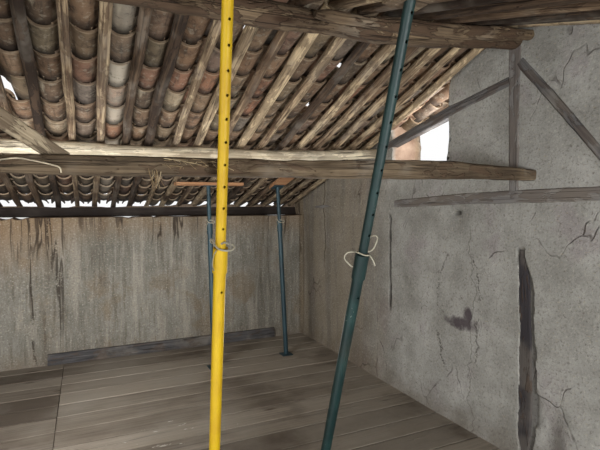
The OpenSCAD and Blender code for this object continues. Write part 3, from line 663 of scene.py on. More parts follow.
# Places on the gables' inside face: the slot, the knot hole, the lump, and the top of the trench
SLOT_Y, SLOT_LOW, SLOT_HIGH, SLOT_HALF = 1.478, 0.84, 1.75, 0.02
KNOT_Y, KNOT_Z, LUMP_Y, LUMP_Z = 0.645, 1.775, -0.36, 0.36
TRENCH_TOP = 1.57
TRENCH_DEPTH, HOLE_DEPTH, BEAM_COVER, LUMP_HEIGHT = 0.018, 0.03, 0.014, 0.06
FOOT_SWELL, FOOT_REACH = 0.02, 0.07


def hand_plaster(a, b, seed):
    """Unevenness of hand-laid plaster over the wall's own plane, in metres, outwards."""
    return (0.007 * cloud(a, b, 0.9, seed) + 0.004 * cloud(a, b, 0.35, seed + 1)
            + 0.0022 * cloud(a, b, 0.13, seed + 2) + 0.0012 * cloud(a, b, 0.05, seed + 3))


def foot_swell(z):
    """How much thicker the plaster gets towards the floor."""
    return FOOT_SWELL * np.exp(-np.clip(z - FLOOR_TOP, 0, 9) / FOOT_REACH)


def weathered(along, height, seed):
    """The outside face: it is worn back, and less uneven than the inside."""
    return 0.6 * hand_plaster(along, height, seed + 9) - WORN_BACK


def gable_relief(y, z, seed):
    """The gable's inside plaster, and how far each point lies in a hollow, from 0 to 1, which sets its painted
    shade. It is hand-laid, and laid thick over the far end of the ring beam, with a trench over the sunken
    post, an upright slot, a knot hole and a lump at the foot."""
    rough = hand_plaster(y, z, seed)
    middle, width = post_line(z)
    middle = middle + np.interp(z, [0.18, 0.7, 1.33, 1.5], [-0.03, -0.034, -0.024, 0.012])
    ragged = 0.009 * cloud(y * 0.2, z, 0.09, seed + 5) + 0.007 * cloud(y, z, 0.028, seed + 6)
    trench = smooth_step(width / 2 + 0.016 + ragged - np.abs(y - middle), -0.002, 0.004)
    trench = trench * smooth_step(z, FLOOR_TOP - 0.02, FLOOR_TOP)
    trench = trench * (1 - smooth_step(z, TRENCH_TOP - 0.035, TRENCH_TOP))
    slot = smooth_step(SLOT_HALF + ragged * 0.6 - np.abs(y - SLOT_Y), -0.003, 0.003)
    slot = slot * smooth_step(z, SLOT_LOW, SLOT_LOW + 0.06) * (1 - smooth_step(z, SLOT_HIGH - 0.03, SLOT_HIGH))
    knot = 1 - smooth_step(np.hypot(y - KNOT_Y, (z - KNOT_Z) * 0.8) + ragged * 0.6, 0.012, 0.024)
    buried = smooth_step(y, 1.3, 1.45) * smooth_step(z, 1.7, 1.76) * (1 - smooth_step(z, 1.9, 2.0))
    lump = np.exp(-((y - LUMP_Y) / 0.14) ** 4 - ((z - LUMP_Z) / 0.22) ** 4)
    raised = rough + BEAM_COVER * buried + foot_swell(z) + LUMP_HEIGHT * lump
    raised = raised - TRENCH_DEPTH * trench - HOLE_DEPTH * slot - HOLE_DEPTH * knot
    return raised, np.maximum(np.maximum(slot, knot), trench * 0.7)


def eaves_wall(side, seed):
    """A wall along X. Its inside face is moved by hand-laid plaster, and its head dips here and there."""
    node = SIDE_NAMES[side] + "_wall"
    x = np.linspace(-HALF_L - 0.03, HALF_L + 0.03, 190)
    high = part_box(node)[1].z + 0.004 * cloud(x, 0, 0.3, seed) - 0.004
    for dip_x, half in HEAD_DIPS if side > 0 else ():
        high = high - 0.02 * np.exp(-((x - dip_x) / half) ** 4)
    depth, height, inner, over, outer = wall_rings(
        high, 0.0, OUT_W - HALF_W, 0.006, EAVES_ROWS_IN, EAVES_ROWS_OUT)
    along = np.broadcast_to(x[:, None], depth.shape)
    depth = depth - (hand_plaster(along, height, seed) + foot_swell(height)) * inner
    depth = depth + weathered(along, height, seed) * outer
    piece(node + "_plaster", track(along, side * (HALF_W + depth), height), PLASTER, "adobe", [node],
          marks={"bare": 0.8 * over + 0 * depth, "sunk": 0 * depth})


GAP_LOW_Y, GAP_HIGH_Y, GAP_SILL = RIDGE_Y + 0.59, RIDGE_Y + 1.31, FLOOR_TOP + 1.93


def gable_head(y):
    """The line on which the tiles are bedded: the rafters' underside at the gable plus their depth."""
    back = under(BACK, HALF_L, np.maximum(y, RIDGE_Y))
    front = under(FRONT, HALF_L, np.minimum(y, RIDGE_Y))
    return np.where(y > RIDGE_Y, back, front) + RAFTER_DEPTH


GABLE_STATION, GAP_FACE_ROWS = 0.045, 24
POST_LOW_Y, POST_HIGH_Y = -0.06, 0.17


def gable_stations(low_y, high_y, with_gap):
    """Places along a gable: closer at the sunken post, at the slot and on each side of the gap."""
    y = np.concatenate([
        np.linspace(low_y, high_y, int((high_y - low_y) / GABLE_STATION)),
        np.linspace(POST_LOW_Y, POST_HIGH_Y, 44), np.linspace(SLOT_Y - 0.03, SLOT_Y + 0.03, 17)])
    y = y[(y >= low_y) & (y <= high_y)]
    if not with_gap:
        y = np.unique(np.round(y, 4))
        return y, gable_head(y)
    near = (np.abs(y - GAP_LOW_Y) < 0.025) | (np.abs(y - GAP_HIGH_Y) < 0.025)
    y = np.unique(np.round(y[~near], 4))
    head = np.where((y > GAP_LOW_Y) & (y < GAP_HIGH_Y), GAP_SILL, gable_head(y))
    for edge, turn in ((GAP_LOW_Y, 1), (GAP_HIGH_Y, -1)):
        face_y = edge + np.linspace(-0.012, 0.012, GAP_FACE_ROWS)
        fall = np.linspace(0, 1, GAP_FACE_ROWS)[::turn]
        face_head = gable_head(face_y) + (GAP_SILL - gable_head(face_y)) * fall
        y, head = np.concatenate([y, face_y]), np.concatenate([head, face_head])
    order = np.argsort(y, kind="stable")
    return y[order], head[order]


def gable_wall(name, hand, seed, nodes, foot=0.0, top=math.inf, low_y=-OUT_W, high_y=OUT_W, with_gap=True):
    """A gable or a part of it, with relief inside and rain-worn outside. Both sides of the gap are broken
    along their brick courses. hand is 1 for the right gable and -1 for the left."""
    y, head = gable_stations(low_y, high_y, with_gap)
    head = np.minimum(head, top)
    tall = head.max() - foot
    rows_in, rows_out = max(30, int(tall / GABLE_ROW_IN)), max(20, int(tall / GABLE_ROW_OUT))
    depth, height, inner, over, outer = wall_rings(head, foot, OUT_L - HALF_L, 0.0, rows_in, rows_out)
    along = np.broadcast_to(y[:, None], depth.shape)
    raised, sunk = gable_relief(along, height, seed)
    depth = depth - raised * inner + weathered(along, height, seed) * outer
    tooth = 0.018 * chance(np.floor(height / BRICK_COURSE), 3) + 0.006 * cloud(height, depth, 0.04, seed)
    near = np.maximum(1 - np.abs(along - GAP_LOW_Y) / 0.03, 1 - np.abs(along - GAP_HIGH_Y) / 0.03)
    near = np.clip(near * 3, 0, 1) * smooth_step(height, GAP_SILL - 0.02, GAP_SILL + 0.03)
    in_gap = (along > GAP_LOW_Y - 0.02) & (along < GAP_HIGH_Y + 0.02) & with_gap
    lump = 0.012 * cloud(along, depth, 0.12, seed + 4) * over * in_gap
    points = track(hand * (HALF_L + depth), along + tooth * near * with_gap, height + lump)
    piece(name, points, PLASTER, "adobe", nodes, marks={"bare": (over & in_gap) * 1.0, "sunk": sunk * inner})


def walls():
    eaves_wall(BACK, 11)
    eaves_wall(FRONT, 31)
    gable_wall("right_gable_plaster", 1, 51, ["right_gable_base", "right_gable_top"])
    gable_wall("left_gable_plaster", -1, 71, ["left_gable_top"], BASE_TOP)
    doorway = [corner.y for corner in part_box("door_threshold")]
    for end, low_y, high_y in (("back", doorway[1], OUT_W), ("front", -OUT_W, doorway[0])):
        gable_wall("left_gable_foot_" + end, -1, 71, ["left_gable_base_" + end], 0.0, BASE_TOP, low_y, high_y,
                   False)


# Timbers

def worn(ring, path, size, seed):
    """A ring moved in and out by hills that run along the timber."""
    reach = reach_along(path)
    turn = np.arctan2(ring[..., 1], ring[..., 0])
    wobble = size * (cloud(reach[:, None], turn * 0.05, 0.3, seed)
                     + 0.5 * cloud(reach[:, None], turn * 0.05, 0.07, seed + 1))
    return ring * (1 + wobble / np.maximum(np.linalg.norm(ring, axis=-1), 0.02))[..., None]


def timber(name, node, path, across, ring, wear, seed, finish, slot):
    """A sawn or hewn timber along a path, in the place of one node."""
    piece(name, sleeve(path, across, worn(ring, path, wear, seed)), finish, slot, [node])


def log(path, half, seed, around=28):
    """A debarked log: rings of the given half thickness, swollen and fluted by hills along it."""
    reach = reach_along(path)
    ring = pole_ring(around, 2.3) * half
    swell = 1 + 0.05 * cloud(reach, 0, 0.9, seed) + 0.02 * cloud(reach, 0, 0.2, seed + 1)
    ring = worn(ring * swell[:, None, None], path, 0.009, seed + 2)
    return sleeve(path, ACROSS_Y, ring)


def flat_fall(side, y):
    """Fall of a slope in metres a metre, where it doesn't sag."""
    return (under(side, HALF_L, y) - under(side, HALF_L, y + side * 0.1)) / 0.1


LAP_LOG_HALF = 0.035


def logs():
    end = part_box("ridge_log")[1].x
    x = np.linspace(-end, end, 150)
    low = RIDGE_HALF * (1 + HALF_FACET * flat_fall(BACK, RIDGE_Y + 0.01))
    path = track(x, RIDGE_Y, ridge_z(x) - low)
    piece("ridge_log_bark", log(path, RIDGE_HALF - 0.003, 5), LOG_WOOD, "old_wood", ["ridge_log"])
    for side, name in SIDE_NAMES.items():
        node, y = name + "_purlin", PURLIN_Y[side]
        low = PURLIN_HALF * (1 + HALF_FACET * flat_fall(side, y))
        path = track(x, y, under(side, x, y) - low)
        piece(node + "_log", log(path, PURLIN_HALF - 0.003, 8 + side), PALE_LOG_WOOD, "pale_wood", [node])
    low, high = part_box("ridge_lap_log")
    x = np.linspace(low.x, high.x, 40)
    y = (low.y + high.y) / 2
    path = track(x, y, under(FRONT, x, y) - LAP_LOG_HALF - 0.007)
    thick = LAP_LOG_HALF * np.interp(np.arange(40), [0, 2, 7], [0.35, 0.75, 1])[:, None, None]
    piece("ridge_lap_log_bark", log(path, thick, 17, 20), LOG_WOOD, "old_wood", ["ridge_lap_log"])


POLE_ROWS, POLE_AROUND = 34, 12
POLE_LENGTH = 3.4
# Half thickness of a rafter, how far it differs between rafters, and how far one strays at its stations
POLE_HALF, POLE_HALF_SPREAD, POLE_STRAY = 0.0315, 0.0045, 0.009
# What keeps faces from touching
CLEAR = 0.001


def rafters(side):
    """Crooked poles that butt over the ridge: their line runs through the frame's own stations and weaves
    between them, and their rings run from round to hewn square."""
    i = np.arange(RAFTER_COUNT)[:, None]
    over = 0.06 + OUT_W - abs(PLATE_Y[side])
    reach = abs(PLATE_Y[side] - RIDGE_Y)
    t = np.linspace(CLEAR, 1 + over / reach, POLE_ROWS)[None]
    y = RIDGE_Y + side * reach * t
    stations = np.array([CLEAR, (PURLIN_Y[side] - RIDGE_Y) * side / reach, 1, 1 + over / reach])
    bent = np.stack([POLE_STRAY * chance(i[:, 0] + 5 * side, k) for k in range(4)], 1)
    x = (i - (RAFTER_COUNT - 1) / 2) * RAFTER_PITCH
    x = x + np.array([np.interp(t[0], stations, row) for row in bent])
    half = POLE_HALF + POLE_HALF_SPREAD * chance(i, side * 3)
    down = t * POLE_LENGTH
    weave = 0.017 * cloud(down, i * 7.0, 0.9, 3 + side) + 0.007 * cloud(down, i * 7.0, 0.3, 6 + side)
    x = x + np.clip(np.sin(np.pi * t), 0, 1) * weave
    thick = half * (0.98 - 0.1 * t + 0.07 * cloud(down, i * 5.0, 0.35, 9 + side)) - CLEAR
    bearing = under(side, x, y) + half + CLEAR
    z = (np.roll(bearing, 1, 1) + bearing + np.roll(bearing, -1, 1)) / 3
    z[:, [0, -1]] = bearing[:, [0, -1]]
    square = 2.0 + 2.2 * np.clip(chance(i[:, 0] * 3, 4), 0, 1)
    ring = pole_ring(POLE_AROUND, square)[:, None] * thick[..., None, None]
    turn = np.arange(POLE_AROUND)[None, None] * 0.5
    lumps = 1 + 0.1 * cloud(down[..., None], turn + i[..., None] * 11, 0.22, 12 + side)
    grid = sleeve(track(x, y, z), -side * ACROSS_X, ring * lumps[..., None])
    name = SIDE_NAMES[side] + "_rafter"
    piece(name + "_poles", grid, POLE_WOOD, "old_wood", [name + "s"])


STRUT_FOOT_X, STRUT_HALF = 1.035, 0.034
TIE_WIDTH, TIE_LEVEL = 0.1, 1.835
# The tie beam at shares of its length: how far its middle hangs below its level above the floor, and its
# depth, in millimetres
TIE_SHAPE = ((0, 5, 82), (0.2, 18, 92), (0.45, 34, 78), (0.61, 33, 76), (0.78, 14, 88), (0.91, -12, 106),
             (1, 0, 82))


def tie_line(x):
    """Height of the tie beam's middle and its depth, at places x."""
    shape = np.array(TIE_SHAPE, float)
    share = (x + HALF_L) / (2 * HALF_L)
    middle = FLOOR_TOP + TIE_LEVEL - np.interp(share, shape[:, 0], shape[:, 1]) / 1000
    return middle, np.interp(share, shape[:, 0], shape[:, 2]) / 1000


def tie_and_struts():
    low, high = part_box("tie_beam")
    x = np.linspace(low.x, high.x, 170)
    middle, tall = tie_line(x)
    path = track(x, (low.y + high.y) / 2 + 0.006 * cloud(x, 0, 1.1, 2), middle)
    ring = board_ring(TIE_WIDTH - 0.008, tall - 0.008, 0.018, 4)
    timber("tie_beam_hewn", "tie_beam", path, ACROSS_Y, ring, 0.008, 21, HEWN_WOOD, "pale_wood")
    for hand, node in ((1, "right_ridge_strut"), (-1, "left_ridge_strut")):
        low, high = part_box(node)
        foot_x = hand * STRUT_FOOT_X
        foot_z = tie_line(foot_x)[0] + tie_line(foot_x)[1] / 2
        slope = math.atan2(high.z - foot_z, STRUT_FOOT_X)
        square = np.array([hand * math.sin(slope), math.cos(slope)]) * STRUT_HALF
        head, toe = np.array([0.0, high.z]) - square, np.array([foot_x, foot_z]) - square
        line = head + (toe - head) * np.linspace(0, 0.985, 30)[:, None]
        path = track(line[:, 0], (low.y + high.y) / 2, line[:, 1])
        ring = board_ring(0.058, 2 * STRUT_HALF - 0.002, 0.008, 3)
        timber(node + "_hewn", node, path, ACROSS_Y, ring, 0.003, 24 + hand, HEWN_WOOD, "pale_wood")


def frame_timber(name, hand, stations, proud, node, seed, finish, slot, depth):
    """A crooked timber in a gable's plane through stations of (y, z, width), set into the plaster."""
    rows = resample(stations, 0.04)
    path = track(hand * (HALF_L - proud + depth / 2), rows[:, 0], rows[:, 1])
    ring = board_ring(depth, rows[:, 2] - 0.003, 0.01, 3)
    timber(name, node, path, ACROSS_X, ring, 0.003, seed, finish, slot)


RING_BEAM_LEVEL, RING_BEAM_RISE = 1.58, 0.165
RING_BEAM_THIN, RING_BEAM_GROWTH = 0.055, 0.06


def ring_beam_line(y):
    """Height of a ring beam's foot and its thickness: it grows and rises towards the room's front."""
    share = (HALF_W - y) / (2 * HALF_W)
    foot = FLOOR_TOP + RING_BEAM_LEVEL + RING_BEAM_RISE * share + 0.005 * np.sin(np.radians(y * 200))
    return foot, RING_BEAM_THIN + RING_BEAM_GROWTH * share + 0.006 * np.sin(np.radians(y * 1000 / 7))


def gable_frame(hand):
    """Ring beam, post below the ridge, strut, brace and sunken post of one gable."""
    end = "right" if hand > 0 else "left"
    y = np.linspace(-HALF_W, HALF_W, 13)
    foot, thick = ring_beam_line(y)
    z = FLOOR_TOP + np.array([0.001, 0.35, 0.8, 1.15, 1.36])
    middle, width = post_line(z)
    ring_top = sum(ring_beam_line(RIDGE_Y)) - FLOOR_TOP
    strut_end = PURLIN_Y[BACK] - PURLIN_HALF - RIDGE_Y
    # Stations from the ridge, above the floor, and widths
    king = ((-0.01, ring_top - 0.05, 0.076), (-0.004, 2.2, 0.08), (0, RIDGE_UNDER - 0.12 - FLOOR_TOP, 0.102))
    strut = ((0.04, 2.455, 0.066), (0.58, 2.362, 0.08), (1.18, 2.232, 0.072), (strut_end, 2.16, 0.062))
    brace = ((-0.04, 2.562, 0.066), (-0.33, 2.215, 0.062), (-0.62, 1.858, 0.058))
    king, strut, brace = (np.array(rows) + [RIDGE_Y, FLOOR_TOP, 0] for rows in (king, strut, brace))
    for part, stations, proud, seed in (
            ("ring_beam", np.stack([y, foot + thick / 2, thick], 1), 0.012, 40), ("king_post", king, 0.009, 43),
            ("gable_strut", strut, 0.011, 46), ("gable_brace", brace, 0.011, 49)):
        node = end + "_" + part
        frame_timber(node + "_timber", hand, stations, proud, node, seed, FRAME_WOOD, "old_wood", 0.08)
    frame_timber(end + "_sunken_post", hand, np.stack([middle, z, width + 0.02], 1), -0.008,
                 end + "_lower_post", 52, POST_WOOD, "dark_wood", 0.056)


def plates_and_lintel():
    """The plates, whose tops are hewn away under the rafters, and the lintel of the doorway."""
    for side, name in SIDE_NAMES.items():
        node = name + "_wall_plate"
        low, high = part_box(node)
        x = np.linspace(low.x, high.x, 110)
        wide = high.y - low.y
        path = track(x, (low.y + high.y) / 2, (low.z + high.z) / 2)
        ring = worn(board_ring(wide - 0.004, high.z - low.z - 0.004, 0.012, 4), path, 0.003, 60 + side)
        fall = (ridge_z(HALF_L) - PLATE_TOP[side]) / abs(PLATE_Y[side] - RIDGE_Y)
        ring[..., 1] -= (ring[..., 1] > 0) * fall * (ring[..., 0] * side + wide / 2)
        piece(node + "_hewn", sleeve(path, ACROSS_Y, ring), DARK_WOOD, "dark_wood", [node])
    low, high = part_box("door_lintel")
    path = track((low.x + high.x) / 2, np.linspace(low.y, high.y, 40), (low.z + high.z) / 2)
    ring = board_ring(high.x - low.x, high.z - low.z - 0.004, 0.01, 4)
    timber("door_lintel_hewn", "door_lintel", path, ACROSS_X, ring, 0.002, 70, DARK_WOOD, "dark_wood")


# Tiles

TILE_LENGTH, TILE_SHOWN, TILE_THICK = 0.35, 0.235, 0.013
CHANNEL_RADIUS, COVER_RADIUS, SLOPE_TILE_HALF_TURN = 0.082, 0.077, 66
# Rise above the rafters' underside at a tile's head, and how much more at its foot
CHANNEL_RISE, COVER_RISE = (0.043, 0.029), (0.076, 0.019)
TILE_EDGE, SLID, SLIP = 0.085, 0.06, 0.15
SLOPE_COLUMNS = 21
LIMED_COLUMN_X = 1.26
# Where the lowest channel tiles of the back slope are gone, and single tiles of it as (x, y)
LOST_LOW_X, LOST_HIGH_X = 0.2, 1.65
SHIFTED_CHANNEL, MISSING_COVER = (0.72, 1.12), (0.63, 1.08)
SLIPPED_COVERS = ((1.92, 0.38), (2.54, 1.12), (2.68, 0.55))
RIDGE_TILE_COUNT, RIDGE_TILE_LENGTH, RIDGE_TILE_RADIUS, RIDGE_TILE_HALF_TURN = 26, 0.364, 0.1, 72
# Top of the ridge tiles above the rafters' underside, and how much higher one lies at its wide end
RIDGE_TILE_TOP, RIDGE_TILE_LAP = RAFTER_DEPTH + 0.1525, 0.016
# The bed under them: how far off the ridge, its level above the underside, and its half width and height
BED_OFF, BED_LEVEL, BED_HALF = 0.082, 0.125, np.array([0.034, 0.036])


def arc_ring(radius, half_turn, thick, upward):
    """Ring of an arc tile: its round back, then its hollow in return. It lies with the middle of its back
    at height 0 for a channel tile, and with its rims there for a cover tile, which is turned upward."""
    turn = np.radians(np.linspace(-half_turn, half_turn, 9))
    radius = np.asarray(radius, float)[..., None]
    outer = np.stack([radius * np.sin(turn), radius * (1 - np.cos(turn))], -1)
    inner = np.stack([(radius - thick) * np.sin(turn), radius - (radius - thick) * np.cos(turn)], -1)
    ring = np.concatenate([outer, inner[..., ::-1, :]], -2)
    if upward:
        ring = -ring
        ring[..., 1] += radius * (1 - math.cos(math.radians(half_turn)))
    return ring


def slope_tiles(side, cover, seed):
    """Rows of arc tiles down a slope: each runs from its own head to its own foot a set rise above the
    rafters' underside, with its foot on the head of the next one down. One column has been limewashed."""
    rng = np.random.default_rng(seed)
    columns = np.arange(-SLOPE_COLUMNS - cover, SLOPE_COLUMNS + 1) + 0.5 * cover
    end = abs(TILE_END_Y[side] - RIDGE_Y)
    rows = int((end - TILE_LENGTH) / TILE_SHOWN) + 2
    head = end - TILE_LENGTH - TILE_SHOWN * np.arange(rows)[::-1]
    column, start = (a.ravel() for a in np.meshgrid(columns, head, indexing="ij"))
    row = np.tile(np.arange(rows), len(columns))
    count = len(column)
    start = start + rng.normal(0, 0.006, count)
    start, stop = np.maximum(start, 0.012), np.minimum(start + TILE_LENGTH, end - 0.016)
    x0 = column * RAFTER_PITCH + rng.normal(0, 0.005, count)
    x1 = x0 + rng.normal(0, 0.006, count)
    x0, x1 = np.clip([x0, x1], -TILE_END_X + TILE_EDGE, TILE_END_X - TILE_EDGE)
    rise, more = COVER_RISE if cover else CHANNEL_RISE
    rise0 = rise + rng.normal(0, 0.0025, count)
    rise1 = rise + more + rng.normal(0, 0.003, count)
    keep = np.ones(count, bool)

    def nearest(spot):
        return np.argmin(np.hypot(x0 - spot[0], RIDGE_Y + start - spot[1]))

    if side > 0 and not cover:
        # The lowest channels are gone there, those above have slid down, and those beside are lifted
        last = row == rows - 1
        lost = (x0 > LOST_LOW_X) & (x0 < LOST_HIGH_X)
        keep &= ~(last & lost & (rng.uniform(0, 1, count) < 0.9))
        above = (row == rows - 2) & lost
        rise1 = rise1 + above * rng.uniform(-0.016, 0.02, count)
        start, stop = start + above * SLID, stop + above * SLID
        most = np.interp(x0, [-3.6, 1.6, 2.7, 3.6], [0.015, 0.03, 0.008, 0.004])
        near = nearest(SHIFTED_CHANNEL)
        x0[near], x1[near] = x0[near] + 0.032, x1[near] + 0.05
        rise1 = rise1 + last * (rng.uniform(0, 1, count) ** 2 * most - 0.008)
    if side > 0 and cover:
        keep[nearest(MISSING_COVER)] = False
        for spot in SLIPPED_COVERS:
            near = nearest(spot)
            for moved, way in ((start, SLIP), (stop, SLIP), (rise0, 0.012), (rise1, 0.012)):
                moved[near] += way
    row, column, start, stop, x0, x1, rise0, rise1 = (
        a[keep] for a in (row, column, start, stop, x0, x1, rise0, rise1))
    share = np.linspace(0, 1, 3)[None]
    x = x0[:, None] + (x1 - x0)[:, None] * share
    y = RIDGE_Y + side * (start[:, None] + (stop - start)[:, None] * share)
    z0, z1 = under(side, x[:, 0], y[:, 0]) + rise0, under(side, x[:, 2], y[:, 2]) + rise1
    z = z0[:, None] + (z1 - z0)[:, None] * share
    taper = share if not cover else 1 - share
    radius = COVER_RADIUS if cover else CHANNEL_RADIUS
    radius = radius * (1 - 0.1 * taper) * (1 + rng.normal(0, 0.02, (len(x0), 1)))
    ring = arc_ring(radius, SLOPE_TILE_HALF_TURN, TILE_THICK, cover)
    grid = sleeve(track(x, y, z), -side * ACROSS_X, ring)
    limed = (np.abs(column * RAFTER_PITCH - LIMED_COLUMN_X) < 0.01) * (side > 0) * (0.5 + 0.5 * chance(row, 5))
    limed = np.repeat(limed, grid.shape[1] * grid.shape[2])
    kind = "_cover_tiles" if cover else "_channel_tiles"
    slope = SIDE_NAMES[side]
    piece(slope + kind, grid, CLAY, "clay_tile", [slope + "_tiles"], marks={"limed": limed})


def mud(name, grids, bare, sunk):
    """Mud with the same marks all over."""
    size = sum(g.size // 3 for g in grids)
    piece(name, grids, PLASTER, "adobe", marks={"bare": np.full(size, bare), "sunk": np.full(size, sunk)})


def ridge_tiles():
    """Capping tiles along the ridge, each with its narrow end under the next, on a bed of mud."""
    rng = np.random.default_rng(77)
    step = (2 * TILE_END_X - 0.37) / (RIDGE_TILE_COUNT - 1)
    head = -TILE_END_X + 0.003 + step * np.arange(RIDGE_TILE_COUNT)
    share = np.linspace(0, 1, 3)[None]
    x = head[:, None] + RIDGE_TILE_LENGTH * share
    y = RIDGE_Y + rng.normal(0, 0.004, (RIDGE_TILE_COUNT, 1))
    radius = RIDGE_TILE_RADIUS * (1 - 0.1 * share) + 0 * x
    rim = RIDGE_TILE_TOP - radius * (1 - math.cos(math.radians(RIDGE_TILE_HALF_TURN)))
    z = ridge_z(x) + rim - RIDGE_TILE_LAP * share
    grid = sleeve(track(x, y, z), ACROSS_Y, arc_ring(radius, RIDGE_TILE_HALF_TURN, 0.014, True))
    piece("ridge_cap_tiles", grid, CLAY, "clay_tile", ["ridge_tiles"], marks={"limed": np.zeros(grid.size // 3)})
    x = np.linspace(-TILE_END_X + 0.02, TILE_END_X - 0.02, 220)
    beds = []
    for side in (BACK, FRONT):
        path = track(x, RIDGE_Y + side * BED_OFF + 0.008 * cloud(x, 0, 0.2, 5), ridge_z(x) + BED_LEVEL)
        beds.append(sleeve(path, ACROSS_Y, worn(pole_ring(10) * BED_HALF, path, 0.008, 33)))
    mud("ridge_mud_bed", beds, 0.5, 0.0)


# Height of the mud on the back wall's head at places along X
FILLING = ((-3.6, 0.05), (-0.4, 0.05), (0.15, 0.03), (0.3, 0.014), (1.5, 0.014), (1.75, 0.022), (2.7, 0.04),
           (3.6, 0.05))


def eaves_filling():
    """Mud packed on each wall's head between the rafters, of uneven height, and nearly all gone where the
    daylight shows widest under the back slope."""
    x = np.linspace(-HALF_L - 0.25, HALF_L + 0.25, 420)
    grids = []
    for side in (BACK, FRONT):
        high = np.interp(x, *np.array(FILLING).T) if side > 0 else 0.05
        high = 0.004 + np.clip(high * (1 + 0.75 * cloud(x, 0, 0.11, 60 + side)), 0, 0.07)
        path = track(x, side * (OUT_W - 0.075), PLATE_TOP[side] - 0.03 + high / 2)
        ring = board_ring(0.1 + 0.02 * cloud(x, 0, 0.2, 70), high + 0.02, 0.01, 2)
        grids.append(sleeve(path, ACROSS_Y, ring))
    # The mud is darkened all over by painted shade
    mud("eaves_mud_filling", grids, 0.3, 0.35)


def tiles():
    for side in (BACK, FRONT):
        slope_tiles(side, 0, 100 + side)
        slope_tiles(side, 1, 200 + side)
    ridge_tiles()


# Floor, boards and small things

def board(low, high, seed, step, edge=0.004):
    """One board along X between two corners, worn a little narrower here and there."""
    low, high = np.array(low, float), np.array(high, float)
    rows = max(4, int((high[0] - low[0]) / step))
    middle = (low + high) / 2
    path = track(np.linspace(low[0], high[0], rows), middle[1], middle[2])
    wide = high[1] - low[1] - 0.004 - 0.002 * np.abs(cloud(path[:, 0], 0, 0.4, seed))
    return sleeve(path, ACROSS_Y, board_ring(wide, high[2] - low[2], edge, 3))


PLANK_WIDTHS = (0.17, 0.25)


def floor_planks():
    """Planks along the room in courses of uneven width, which meet end to end over joists."""
    rng = np.random.default_rng(9)
    widths = rng.uniform(*PLANK_WIDTHS, 40)
    edges = np.concatenate([[0], np.cumsum(widths)])
    edges = edges[:np.searchsorted(edges, 2 * HALF_W)]
    edges = -HALF_W + edges * (2 * HALF_W / edges[-1])
    grids = []
    for number, (low, high) in enumerate(zip(edges[:-1], edges[1:])):
        joints = [-HALF_L, -1.56 if number % 3 else -2.1, 0.84, HALF_L]
        if low < 0.6:
            joints[2] = 0.3 if number % 2 else 1.5
        for start, stop in zip(joints[:-1], joints[1:]):
            top = FLOOR_TOP - rng.uniform(0, 0.003)
            gap = 0.0015 + rng.uniform(0, 0.002)
            grids.append(board((start + gap, low + gap, BOARDS_FOOT), (stop - gap, high - gap, top), number, 0.3))
    piece("floor_planks", grids, PLANK_WOOD, "old_wood", ["floor_boards"], tones=rng.uniform(0, 1, len(grids)))
    piece("wall_foot_plank", board(*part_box("wall_foot_board"), 88, 0.1, 0.006), FRAME_WOOD, "old_wood",
          ["wall_foot_board"], tones=[0.35])


def pads():
    """The boards on the heads of the two leaning props."""
    for number, node in enumerate(("yellow_prop_pad", "green_prop_pad")):
        grid = board(*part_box(node), 90 + number, 0.05, 0.005)
        piece(node + "_board", grid, HEWN_WOOD, "pale_wood", [node])


def rod(points, radius):
    """A bent rod through points: each piece between two points is a cubic whose slopes at them are half
    the way between their neighbours."""
    points = np.asarray(points, float)
    slope = np.gradient(points, axis=0)
    t = np.linspace(0, 1, 5, endpoint=False)[None, :, None]
    a, b, c, d = points[:-1, None], points[1:, None], slope[:-1, None], slope[1:, None]
    line = ((2 * t**3 - 3 * t**2 + 1) * a + (t**3 - 2 * t**2 + t) * c
            + (3 * t**2 - 2 * t**3) * b + (t**3 - t**2) * d)
    line = np.concatenate([line.reshape(-1, 3), points[-1:]])
    return sleeve(line, np.array([0.3, 0.4, 0.87]), pole_ring(8) * radius)


# Pins of the props, in millimetres: across to the right, up, and towards the room's front
HOOK_PIN = ((8, 3, 30), (20, 9, 29), (31, 7, 20), (35, 2, 8), (24, 0, 0), (0, 0, 0), (-24, 2, 0), (-38, 8, 4),
            (-40, 18, 13), (-32, 22, 24), (-21, 6, 33), (-8, -12, 40), (14, -22, 40), (40, -25, 30),
            (54, -23, 20), (62, -13, 14), (58, -3, 12), (50, 0, 12))
PIN_TAIL = ((-11, -24, 35), (-24, -45, 28), (-31, -75, 20), (-31, -98, 20), (-24, -112, 28))
WIDE_PIN = ((26, 57, 10), (33, 68, 9), (50, 72, 6), (61, 61, 3), (55, 38, 1), (42, 14, 0), (20, 4, 0), (0, 0, 0),
            (-24, 4, 0), (-48, 4, 0), (-68, -2, 2), (-76, -20, 4), (-62, -42, 6), (-42, -58, 8))
PIN_BAND = ((-34, 6, 6), (-26, 5, 20), (-12, 0, 31), (4, -6, 35), (20, -8, 28), (30, -12, 16), (42, -31, 10),
            (51, -53, 8))


# Foot and head of each prop as (x, y), its slope, and the share of its length at which its pin is
PROP_AXES = {
    "yellow": ((HALF_L - 1.946, RIDGE_Y + 0.213), (HALF_L - 2.035, RIDGE_Y - 0.449), FRONT, 0.5925),
    "green": ((HALF_L - 1.42, RIDGE_Y + 0.045), (HALF_L - 1.53, RIDGE_Y - 0.885), FRONT, 0.607),
    "back_near": ((HALF_L - 1.37, HALF_W - 0.78), (HALF_L - 1.415, HALF_W - 0.79), BACK, 0.8),
    "back_far": ((HALF_L - 0.545, HALF_W - 0.72), (HALF_L - 0.63, HALF_W - 0.69), BACK, 0.8)}
PAD_DEPTH = 0.036
# Right, up and front as the photograph sees the pins, and how far a pin is above its place on the axis
PIN_AXES = np.array([[0.906, -0.423, 0], [0, 0, 1], [-0.423, -0.906, 0]])
PIN_LIFT = np.array([0, 0, 0.008])


